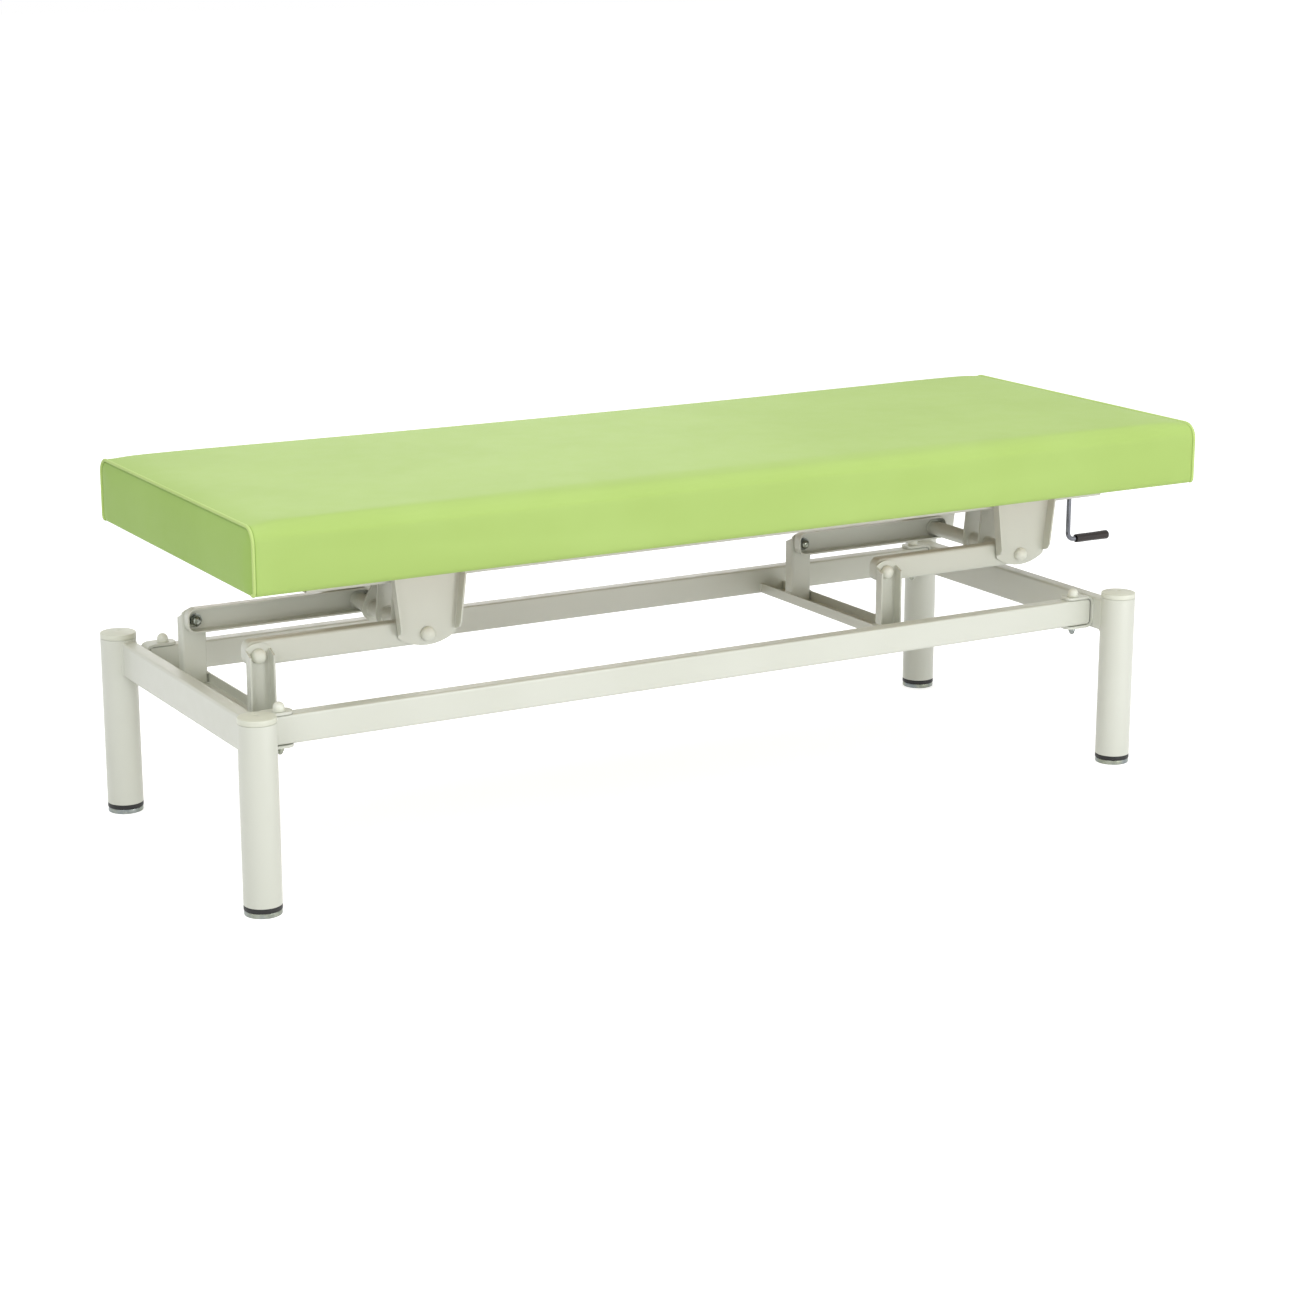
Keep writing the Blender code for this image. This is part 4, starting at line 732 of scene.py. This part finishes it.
THREAD_PITCH, THREAD_DEEP, THREAD_LONG = 0.005, 0.0022, 0.200
THREAD_SHARES = (0.0, 0.0, 0.08, 0.5, 0.92, 1.0, 1.0, 1.0, 0.92, 0.5, 0.08, 0.0)
SCREW_RADIUS, SHAFT_RADIUS, COLLAR_RADIUS, HUB_RADIUS = 0.010, 0.0085, 0.013, 0.013
COLLAR_WIDE, BEARING_HALF, HUB_HALF = 0.008, 0.0153, 0.011
COLLAR_EDGE, HUB_EDGE, HUB_END_EDGE = 0.0006, 0.001, 0.0015
SCREW_SIDES = 32


def thread_radius(along, around):
    """The screw's radius at a distance along it and a share of a turn round it."""
    share = (along / THREAD_PITCH - around) % 1 * len(THREAD_SHARES)
    k = int(share) % len(THREAD_SHARES)
    after = THREAD_SHARES[(k + 1) % len(THREAD_SHARES)]
    height = THREAD_SHARES[k] + (after - THREAD_SHARES[k]) * (share - int(share))
    return SCREW_RADIUS - THREAD_DEEP * (1 - height)


def collar(low, high, radius, edge, end_edge):
    """Stations of a thicker stretch of the shaft, (x, radius), with its two rims cut back."""
    made = [(low, SHAFT_RADIUS), (low, radius - edge), (low + edge, radius)]
    return made + [(high - end_edge, radius), (high, radius - end_edge)]


def screw_mesh():
    """The whole shaft: thread, plain part, two collars at the foot bearing, and the crank's hub."""
    pivot = middle("upper_pivot_bolt_head_front").x
    start, stop = pivot - THREAD_LONG / 2, pivot + THREAD_LONG / 2
    tip, end = (corner.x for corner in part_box("screw_shaft"))
    bearing = middle("crossbar_foot").x
    rows = round(THREAD_LONG / THREAD_PITCH * len(THREAD_SHARES))
    stations = [(tip, 0), (tip, SHAFT_RADIUS - HUB_EDGE), (tip + HUB_EDGE, SHAFT_RADIUS)]
    stations.append((start, SHAFT_RADIUS))
    stations += [(start + THREAD_LONG * i / rows, None) for i in range(rows + 1)]
    stations.append((stop, SHAFT_RADIUS))
    for low in (bearing - BEARING_HALF - COLLAR_WIDE, bearing + BEARING_HALF):
        high = low + COLLAR_WIDE
        stations += collar(low, high, COLLAR_RADIUS, COLLAR_EDGE, COLLAR_EDGE)
        stations.append((high, SHAFT_RADIUS))
    stations += collar(end - 2 * HUB_HALF, end, HUB_RADIUS, HUB_EDGE, HUB_END_EDGE)
    stations.append((end, 0))
    rings = []
    for x, radius in stations:
        shares = [0] if radius == 0 else [i / SCREW_SIDES for i in range(SCREW_SIDES)]
        ring = []
        for share in shares:
            r = thread_radius(x - start, share) if radius is None else radius
            a = 2 * math.pi * share
            ring.append((x, r * math.cos(a), r * math.sin(a)))
        rings.append(ring)
    bm = bmesh.new()
    skin(bm, rings)
    return finished("screw", bm, sharp=50.0)


crank_axis = middle("screw_shaft")
screw = at(screw_mesh(), (0, crank_axis.y, crank_axis.z))
keep("steel_screw_shaft", screw, steel, "crank", "machined_steel", "screw_shaft")


# Crank: a bent chromed rod with a dark brown moulded grip that spins on it. The grip swells
# towards its outer end.

chrome = Finish("chrome", metallic=1.0, ior=1.5)
chrome.mottle(chrome.noise(50.0, 3.0), (108, 110, 117), (122, 124, 130))
chrome.set("Roughness", chrome.drift(chrome.noise(200.0, 3.0), 0.1, 0.18))
low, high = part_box("crank_rod")
rod_radius = (high.y - low.y) / 2
plane, bottom = low.x + rod_radius, low.z + rod_radius
CRANK_BEND = 0.014
path = [(plane, crank_axis.y, high.z)]
for a in quarter(12):
    along, up = CRANK_BEND * (1 - math.cos(a)), CRANK_BEND * (1 - math.sin(a))
    path.append((plane + along, crank_axis.y, bottom + up))
path.append((high.x, crank_axis.y, bottom))
crank = bead.grow([(path, False)], chrome, Radius=rod_radius, Sides=40, Step=0.002)
crank.set_sharp_from_angle(angle=math.radians(40))
keep("chromed_crank_rod", crank, chrome, "crank", "chrome", "crank_rod")

brown = Finish("brown_plastic", ior=1.46)
brown.mottle(brown.noise(30.0, 3.0), (27, 18, 15), (36, 25, 21))
brown.set("Roughness", brown.drift(brown.noise(120.0, 3.0), 0.32, 0.48))
brown.relief(brown.noise(1300.0), 0.00008, 0.5)
low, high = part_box("crank_grip")
grip_radius, long = (high.y - low.y) / 2, high.x - low.x
GRIP_BORE, GRIP_HOLE, GRIP_ROUND = 0.0054, 0.03, 0.005
# (share of the grip's length, share of its radius)
GRIP_SHAPE = ((0, 0.9), (0.03, 0.93), (0.1, 0.96), (0.5, 0.935),
              (0.85, 0.985), (0.93, 1), (1, 0.97))
outline = [(GRIP_BORE, GRIP_HOLE), (GRIP_BORE, 0)]
outline += [(grip_radius * out, long * along) for along, out in GRIP_SHAPE] + [(0, long)]
outline = [(0, GRIP_HOLE)] + eased(outline, GRIP_ROUND, steps=6)
centre = middle("crank_grip")
grip = at(turned("crank_grip", outline, sides=64), (low.x, centre.y, centre.z), ALONG_X)
keep("moulded_crank_grip", grip, brown, "grip", "brown_plastic", "crank_grip")


# Board: birch plywood under the foam, seen only from below. Zinc-plated bolts with a washer,
# two at each crossbar, hold it down.

wood = Finish("plywood", roughness=0.65, ior=1.45)
grain_place = wood.node("ShaderNodeMapping", {}, {"Vector": wood.place, "Scale": (1.5, 30.0, 30.0)})
figure = wood.noise(2.0, 6.0, place=grain_place, rough=0.6)
wood.mottle(figure, (190, 158, 115), (214, 186, 144))
wood.relief(figure, 0.0004, 0.4)
keep("plywood_board", softened("top_board", edge=0.0008), wood, "top", "plywood", "top_board")

BOLT_OUT = 0.215
BOLT_HEAD, BOLT_WASHER = (0.013, 0.0053), (0.008, 0.0015)
heads = []
for bar in CROSSBARS:
    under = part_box(bar)[0].z
    if bar != "crossbar_middle":
        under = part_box("frame_beam_front")[1].z + TOUCH
    (across, tall), (radius, thick) = BOLT_HEAD, BOLT_WASHER
    for y in (-BOLT_OUT, BOLT_OUT):
        head = hexagon("board_bolt", across, -thick - tall, -thick)
        disc = eased([(0, 0), (radius, 0), (radius, -thick), (0, -thick)], TUBE_EDGE)
        disc = turned("board_washer", disc, sides=32)
        heads += [at(mesh, (middle(bar).x, y, under)) for mesh in (head, disc)]
keep("board_bolts", joined("board_bolts", heads), zinc, "top", "zinc_plate")


# Padded top: foam under tight green vinyl, grained like fine leather. The long edges are rolled
# over and pulled under the board, and each end is closed by a sewn panel that the foam fills out.

cushion_low, cushion_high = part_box("cushion")
SEAM_IN = 0.0075
SEAMS = (cushion_low.x + SEAM_IN, cushion_high.x - SEAM_IN)
SEAM_MIDDLE, SEAM_REACH = (SEAMS[0] + SEAMS[1]) / 2, (SEAMS[1] - SEAMS[0]) / 2
# Painted shade along the seams: where it fades out on the cover and on the panels, and the share of
# deep green it mixes in.
SEAM_SHADE_COVER, SEAM_SHADE_PANEL, SEAM_SHADE_SHARE = (0.0030, 0.0040), (0.0002, 0.0008), 0.5
SEAM_SOFT = 0.0002


def upholstery(name, dark, light):
    """The vinyl finish, with its cloud and its colour, for the painted shade that changes it at the
    seams.
    """
    made = Finish(name, ior=1.31)
    cloud = made.drift(made.noise(5.0), hold=0.35)
    tone = made.blend(cloud, dark, light)
    made.set("Base Color", tone)
    made.set("Roughness", made.drift(made.noise(30.0, 3.0), 0.50, 0.53))
    pebble = {"Vector": made.place, "Scale": 900.0}
    pebble = made.node("ShaderNodeTexVoronoi", {"feature": "SMOOTH_F1"}, pebble)
    made.relief(pebble + made.noise(2200.0) * 0.4, 0.00016, 0.5)
    return made, cloud, tone


# Painted highlight: the welt's vinyl is lighter than the cover's, standing in for the light that the
# raised cord catches.
lit_welt_vinyl, *_ = upholstery("green_vinyl_welt", ink(182, 206, 122), ink(186, 209, 127))
vinyl, cloud, tone = upholstery("green_vinyl", ink(167, 194, 106), ink(170, 197, 110))
along_x = vinyl.node("ShaderNodeSeparateXYZ", {}, {"Vector": vinyl.place})
past_seam = abs(along_x - SEAM_MIDDLE) - SEAM_REACH
is_panel = vinyl.between(past_seam, 0, SEAM_SOFT, 0, 1)
# Painted shade: the vinyl turns deep green in narrow bands on both sides of each seam, standing in
# for the shade in the seam's grooves.
cover_seam_shade = vinyl.between(past_seam * -1, *SEAM_SHADE_COVER, SEAM_SHADE_SHARE, 0)
cover_seam_shade = cover_seam_shade * vinyl.between(past_seam, -SEAM_SOFT, 0, 1, 0)
panel_seam_shade = vinyl.between(past_seam, *SEAM_SHADE_PANEL, SEAM_SHADE_SHARE, 0) * is_panel
# Painted shade: the end panels are given a deeper green than the cover, standing in for the lesser
# light that falls on the ends.
shaded_panel_tone = vinyl.blend(cloud, ink(154, 186, 92), ink(157, 189, 96))
tone = vinyl.blend(is_panel, tone, shaded_panel_tone)
vinyl.set("Base Color", vinyl.blend(cover_seam_shade | panel_seam_shade, tone, ink(112, 142, 56)))

TOP_ROUND, FOOT_ROUND, LEAST_ROUND = 0.028, 0.010, 0.006
FOOT_SHARE = 0.2
CROWN, SIDE_FULL, PANEL_FULL = 0.0040, 0.0012, 0.0027
HEM_THICK = 0.0008
HALF_WIDE = (cushion_high.y - cushion_low.y) / 2 - SIDE_FULL
FOOT = cushion_low.z - HEM_THICK
TALL = cushion_high.z - CROWN
FLAT_COUNT, FOOT_COUNT, SIDE_COUNT, ROUND_COUNT, TOP_COUNT = 30, 4, 8, 8, 28
ACROSS, UP = 2 * FLAT_COUNT + FOOT_COUNT, FOOT_COUNT // 2 + SIDE_COUNT + ROUND_COUNT // 2
ALONG = 110
# (distance in from a seam, how far the cover is drawn in there)
SIDE_RINGS = ((0.0, 0.0045), (0.0022, 0.0030), (0.0034, 0.0010), (0.0046, 0.0003), (0.008, 0.0),
              (0.013, 0.0), (0.020, 0.0))
# (distance in from the edge of an end panel, how far it stands out past the seam there)
PANEL_RINGS = ((0.0065, 0.0002), (0.009, 0.0011), (0.014, 0.0025), (0.021, 0.0037),
               (0.030, 0.0045))
HELD_OUT, HELD_IN = 0.0007, 0.0081


def section(inset):
    """A closed ring round the padded top as (y, z): bottom, right side, top and left side."""
    half, low, high = HALF_WIDE - inset, FOOT + inset * FOOT_SHARE, TALL - inset
    curve = max(TOP_ROUND - inset, LEAST_ROUND)
    right = [Vector(((half - FOOT_ROUND) * i / FLAT_COUNT, low)) for i in range(FLAT_COUNT)]
    centre = Vector((half - FOOT_ROUND, low + FOOT_ROUND))
    right += [centre + FOOT_ROUND * Vector((math.sin(a), -math.cos(a))) for a in quarter(FOOT_COUNT)]
    start, stop = low + FOOT_ROUND, high - curve
    right += [Vector((half, start + (stop - start) * i / SIDE_COUNT)) for i in range(1, SIDE_COUNT)]
    centre = Vector((half - curve, high - curve))
    right += [centre + curve * Vector((math.cos(a), math.sin(a))) for a in quarter(ROUND_COUNT)]
    right += [Vector(((half - curve) * (1 - i / TOP_COUNT), high)) for i in range(1, TOP_COUNT + 1)]
    ring = right + [Vector((-point.x, point.y)) for point in right[-2:0:-1]]
    turn = FLAT_COUNT + FOOT_COUNT // 2
    return ring[-turn:] + ring[:-turn]


def inside(ring, i, j):
    """A point of an end panel, worked out from the ring's four sides."""
    count, u, v = len(ring), i / ACROSS, j / UP
    bottom, right = ring[i], ring[ACROSS + j]
    top, left = ring[2 * ACROSS + UP - i], ring[(count - j) % count]
    made = bottom * (1 - v) + top * v + left * (1 - u) + right * u
    made -= ring[0] * ((1 - u) * (1 - v)) + ring[ACROSS] * (u * (1 - v))
    return made - ring[ACROSS + UP] * (u * v) - ring[2 * ACROSS + UP] * ((1 - u) * v)


def padded_shape():
    """The cover as closed quads, and the points of it that seams and staples hold."""
    bm = bmesh.new()
    inner = SIDE_RINGS[-1][0]
    stride = (SEAMS[1] - SEAMS[0] - 2 * inner) / ALONG
    stations = [(SEAMS[0] - out, inset) for inset, out in PANEL_RINGS[::-1]]
    stations += [(SEAMS[0] + reach, inset) for reach, inset in SIDE_RINGS]
    stations += [(SEAMS[0] + inner + stride * i, 0.0) for i in range(1, ALONG)]
    stations += [(SEAMS[1] - reach, inset) for reach, inset in SIDE_RINGS[::-1]]
    stations += [(SEAMS[1] + out, inset) for inset, out in PANEL_RINGS]
    rings = skin(bm, [[(x, *point) for point in section(inset)] for x, inset in stations])
    for ring, (x, inset) in ((rings[0], stations[0]), (rings[-1], stations[-1])):
        flat, count = section(inset), len(ring)
        grid = {(i, 0): ring[i] for i in range(ACROSS + 1)}
        grid.update({(ACROSS, j): ring[ACROSS + j] for j in range(UP + 1)})
        grid.update({(i, UP): ring[2 * ACROSS + UP - i] for i in range(ACROSS + 1)})
        grid.update({(0, j): ring[count - j] for j in range(1, UP)})
        for i in range(1, ACROSS):
            for j in range(1, UP):
                grid[i, j] = bm.verts.new((x, *inside(flat, i, j)))
        for i in range(ACROSS):
            for j in range(UP):
                bm.faces.new((grid[i, j], grid[i + 1, j], grid[i + 1, j + 1], grid[i, j + 1]))
    mesh = finished("padded_top", bm)
    points = points_of(mesh)
    depth = SEAM_REACH - np.abs(points[:, 0] - SEAM_MIDDLE)
    sewn = (depth > -HELD_OUT) & (depth < HELD_IN)
    stapled = points[:, 2] < FOOT + FOOT_ROUND
    return mesh, np.flatnonzero(sewn | stapled).tolist()


def points_of(mesh, what="co"):
    """The mesh's points, or their normals, as rows of three numbers."""
    flat = np.empty(len(mesh.vertices) * 3, np.float32)
    mesh.vertices.foreach_get(what, flat)
    return flat.reshape(-1, 3).astype(float)


def inflate(piece, pinned, frames=20, pressure=4.0):
    """Blows the cover up as cloth and gives where its points end, with the pinned ones held."""
    group = piece.vertex_groups.new(name="held")
    group.add(pinned, 1.0, "REPLACE")
    cloth = piece.modifiers.new("cloth", "CLOTH")
    feel = cloth.settings
    feel.quality = 6
    feel.mass = 0.4
    feel.tension_stiffness = feel.compression_stiffness = 30
    feel.shear_stiffness = 10
    feel.bending_stiffness = 1.0
    feel.vertex_group_mass = "held"
    feel.use_pressure = True
    feel.uniform_pressure_force = pressure
    feel.effector_weights.gravity = 0
    cloth.collision_settings.use_collision = False
    cloth.point_cache.frame_start, cloth.point_cache.frame_end = 1, frames
    for step in range(1, frames + 1):
        bpy.context.scene.frame_set(step)
    graph = bpy.context.evaluated_depsgraph_get()
    ended = points_of(piece.evaluated_get(graph).data)
    piece.modifiers.remove(cloth)
    piece.vertex_groups.remove(group)
    bpy.context.scene.frame_set(1)
    return ended


PANEL_FACING, TOP_FACING = 0.7, 0.5
cover_mesh, held = padded_shape()
cover = linked("padded_cover", cover_mesh)
rest = points_of(cover_mesh)
moved = inflate(cover, held) - rest
far = np.linalg.norm(moved, axis=1)
outward = points_of(cover_mesh, "normal")
is_end, is_top = np.abs(outward[:, 0]) > PANEL_FACING, outward[:, 2] > TOP_FACING
limit = np.where(is_end, PANEL_FULL, np.where(is_top, CROWN, SIDE_FULL))
share = limit * np.tanh(far / limit) / np.maximum(far, 1e-9)
settled = rest + moved * share[:, None]
cover_mesh.vertices.foreach_set("co", settled.astype(np.float32).ravel())
cover_mesh.update()
smoother = cover.modifiers.new("smooth", "SUBSURF")
smoother.levels = smoother.render_levels = 1


# Pocket and hem: the board lies in a pocket of the cover, whose hem is stapled under it. The
# hem is cut by hand, so its edge wanders a little.

def prism(name, outline, low, high):
    """An outline seen from above, filled and drawn up from low to high."""
    bm = bmesh.new()
    floor = bm.faces.new([bm.verts.new((*point, low)) for point in outline])
    walls = bmesh.ops.extrude_face_region(bm, geom=[floor])
    raised = [part for part in walls["geom"] if isinstance(part, bmesh.types.BMVert)]
    bmesh.ops.translate(bm, verts=raised, vec=(0, 0, high - low))
    return linked(name, finished(name, bm))


def outlined(low, high, inset):
    """A box's outline from above, drawn in by inset."""
    x0, x1 = low.x + inset, high.x - inset
    y0, y1 = low.y + inset, high.y - inset
    return [(x0, y0), (x1, y0), (x1, y1), (x0, y1)]


def walked(outline, step):
    """Points along a closed outline, about a step apart."""
    made = []
    for a, b in zip(outline, outline[1:] + outline[:1]):
        a, b = Vector(a), Vector(b)
        count = max(1, round((b - a).length / step))
        made += [a.lerp(b, i / count) for i in range(count)]
    return made


HEM_WIDE, HEM_STEP, HEM_WANDER = 0.038, 0.024, 0.0012
OPENING_BELOW, OPENING_ABOVE = 0.01, 0.004
BOARD_ROOM, POCKET_BELOW = 0.0004, 0.0001
board_low, board_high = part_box("top_board")
pocket = outlined(board_low, board_high, -BOARD_ROOM)
wander = np.random.default_rng(5)
hem_edge = [point + Vector(wander.uniform(-HEM_WANDER, HEM_WANDER, 2))
            for point in walked(outlined(cushion_low, cushion_high, HEM_WIDE), HEM_STEP)]
under = board_low.z
cutters = [
    prism("board_pocket", pocket, under - POCKET_BELOW, board_high.z + BOARD_ROOM),
    prism("hem_opening", hem_edge, under - OPENING_BELOW, under + OPENING_ABOVE),
]
for cutter in cutters:
    cut = cover.modifiers.new(cutter.name, "BOOLEAN")
    cut.operation, cut.solver, cut.object = "DIFFERENCE", "EXACT", cutter
cover_final = blended(cover)
for cutter in cutters:
    bpy.data.objects.remove(cutter, do_unlink=True)
cover_final.shade_smooth()
cover_final.set_sharp_from_angle(angle=math.radians(60))
padded = keep("padded_top_cover", cover_final, vinyl, "top", "green_vinyl", "cushion")


# Welts: a cord in a strip of the same vinyl, sewn into the seam of each end panel. Each runs
# from one bottom corner of its panel up the side, over the top and down to the other.

WELT_RADIUS, WELT_IN = 0.0029, 0.0018
ring, half_corner = section(WELT_IN), FOOT_COUNT // 2
welt_ring = ring[ACROSS - half_corner:] + ring[:half_corner + 1]
for end, x in zip(("head", "foot"), SEAMS):
    path = [(x, y, max(z, FOOT + WELT_RADIUS)) for y, z in welt_ring]
    welt = bead.grow([(path, False)], lit_welt_vinyl, Radius=WELT_RADIUS, Step=0.003, Sides=14)
    keep(f"welt_{end}", welt, lit_welt_vinyl, "top", "green_vinyl")


# Staples: zinc-plated steel wire, driven through the hem into the board to hold the vinyl tight.
# They stand in one row along the hem, each turned a little from its line as by hand.

row = Growth("row_of_staples", Spacing=0.030, Crown=0.011, Wire=0.0005, Wobble=0.12)
line = row.node("GeometryNodeMeshToCurve", {}, {"Mesh": row.size("Paths")})
values = {"Curve": line, "Length": row.size("Spacing")}
line = row.node("GeometryNodeResampleCurve", {"mode": "LENGTH"}, values)
half = row.size("Crown") / 2
ends = [row.node("ShaderNodeCombineXYZ", {}, {"X": x}) for x in (half * -1, half)]
crown = row.node("GeometryNodeCurvePrimitiveLine", {}, {"Start": ends[0], "End": ends[1]})
values = {"Resolution": 6, "Radius": row.size("Wire")}
wire = row.node("GeometryNodeCurvePrimitiveCircle", {"mode": "RADIUS"}, values)
values = {"Curve": crown, "Profile Curve": wire, "Fill Caps": True}
staple = row.node("GeometryNodeCurveToMesh", {}, values)
values = {"Vector": row.node("GeometryNodeInputTangent")}
aim = row.node("FunctionNodeAlignRotationToVector", {"axis": "X"}, values)
values = {2: -1.0, 3: 1.0, 8: 7}
chance = row.node("FunctionNodeRandomValue", {"data_type": "FLOAT"}, values, output=1)
values = {"Axis": (0, 0, 1), "Angle": chance * row.size("Wobble")}
skew = row.node("FunctionNodeAxisAngleToRotation", {}, values)
aim = row.node("FunctionNodeRotateRotation", {}, {"Rotation": aim, "Rotate By": skew})
values = {"Points": line, "Instance": staple, "Rotation": aim}
row.done(row.node("GeometryNodeInstanceOnPoints", {}, values))

STAPLES_IN, STAPLES_BELOW, STAPLES_STEP = 0.022, 0.0003, 0.02
staples = walked(outlined(cushion_low, cushion_high, STAPLES_IN), STAPLES_STEP)
staples = [(*point, FOOT - STAPLES_BELOW) for point in staples]
keep("hem_staples", row.grow([(staples, True)], zinc), zinc, "top", "zinc_plate")


# Floor, world and lamps: a pale studio sweep, white to the camera and in reflections, which
# keeps the object's shadow.

def in_view(graph):
    """1 for rays that show a thing to the camera, 0 for those that carry its light elsewhere."""
    ray = graph.node("ShaderNodeLightPath")
    return ray.also("Is Camera Ray") | ray.also("Is Glossy Ray") | ray.also("Is Transmission Ray")


FLOOR_GLOW, FLOOR_GREY = 0.60, (0.8, 0.8, 0.8, 1)
floor_look = Finish("studio_floor")
floor_look.tree.nodes.remove(floor_look.shader)
matt = floor_look.node("ShaderNodeBsdfDiffuse", {}, {"Color": FLOOR_GREY})
glow = floor_look.node("ShaderNodeEmission", {}, {"Strength": FLOOR_GLOW})
bright = floor_look.node("ShaderNodeAddShader", {}, {0: matt, 1: glow})
values = {0: in_view(floor_look), 1: matt, 2: bright}
pick = floor_look.node("ShaderNodeMixShader", {}, values)
floor_look.feed(floor_look.tree.nodes["Material Output"].inputs["Surface"], pick)
REACH = 40.0
floor_mesh = bpy.data.meshes.new("studio_floor")
floor_corners = [(-REACH, -REACH, 0), (REACH, -REACH, 0), (REACH, REACH, 0), (-REACH, REACH, 0)]
floor_mesh.from_pydata(floor_corners, [], [(0, 1, 2, 3)])
floor_mesh.materials.append(floor_look.material)
linked("studio_floor", floor_mesh)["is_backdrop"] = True

AMBIENT = 0.66
world = bpy.data.worlds.new("studio")
bpy.context.scene.world = world
world.use_nodes = True
sky = Graph(world.node_tree)
air = sky.tree.nodes["Background"].inputs
air["Color"].default_value = (1, 1, 1, 1)
sky.feed(air["Strength"], in_view(sky) * (1 - AMBIENT) + AMBIENT)


def lamp(name, place, aim, size, power):
    """A square softbox."""
    light = bpy.data.lights.new(name, "AREA")
    light.shape = "SQUARE"
    light.size = size
    light.energy = power
    made = linked(name, light)
    made.location = place
    made.rotation_euler = (Vector(aim) - Vector(place)).to_track_quat("-Z", "Y").to_euler()


lamp("top_softbox", (0.5, -0.3, 3.6), (0.1, 0, 0.4), 3.0, 31)
lamp("high_softbox", (-2.2, -2.4, 4.0), (0.0, 0, 0.4), 2.6, 50)
lamp("key_softbox", (-3.9, -3.2, 2.0), (-0.3, 0, 0.3), 1.8, 27)
lamp("low_softbox", (1.3, -4.1, 0.65), (0.0, -0.35, 0.5), 1.2, 36)
lamp("side_softbox", (3.2, -3.4, 1.0), (0.4, 0, 0.4), 2.6, 22)
lamp("back_softbox", (1.5, 3.8, 1.6), (0.2, 0, 0.4), 2.0, 12)


# Camera: the photograph's view, from the head end's front corner and a little above.

AZIMUTH, ELEVATION = math.radians(-29.865), math.radians(14.345)
TARGET, DISTANCE = Vector((0.03304, 0, 0.25627)), 5.303
SENSOR, FOCAL_PIXELS, PHOTO_PIXELS = 36.0, 2885.5, 1296
level = math.cos(ELEVATION)
away = Vector((math.sin(AZIMUTH) * level, -math.cos(AZIMUTH) * level, math.sin(ELEVATION)))
lens = bpy.data.cameras.new("camera")
lens.sensor_width = SENSOR
lens.lens = FOCAL_PIXELS / PHOTO_PIXELS * SENSOR
lens.clip_end = 200.0
camera = linked("camera", lens)
camera.location = TARGET + away * DISTANCE
camera.rotation_euler = (-away).to_track_quat("-Z", "Y").to_euler()
bpy.context.scene.camera = camera
bpy.context.scene.view_settings.view_transform = "Standard"

low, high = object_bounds()
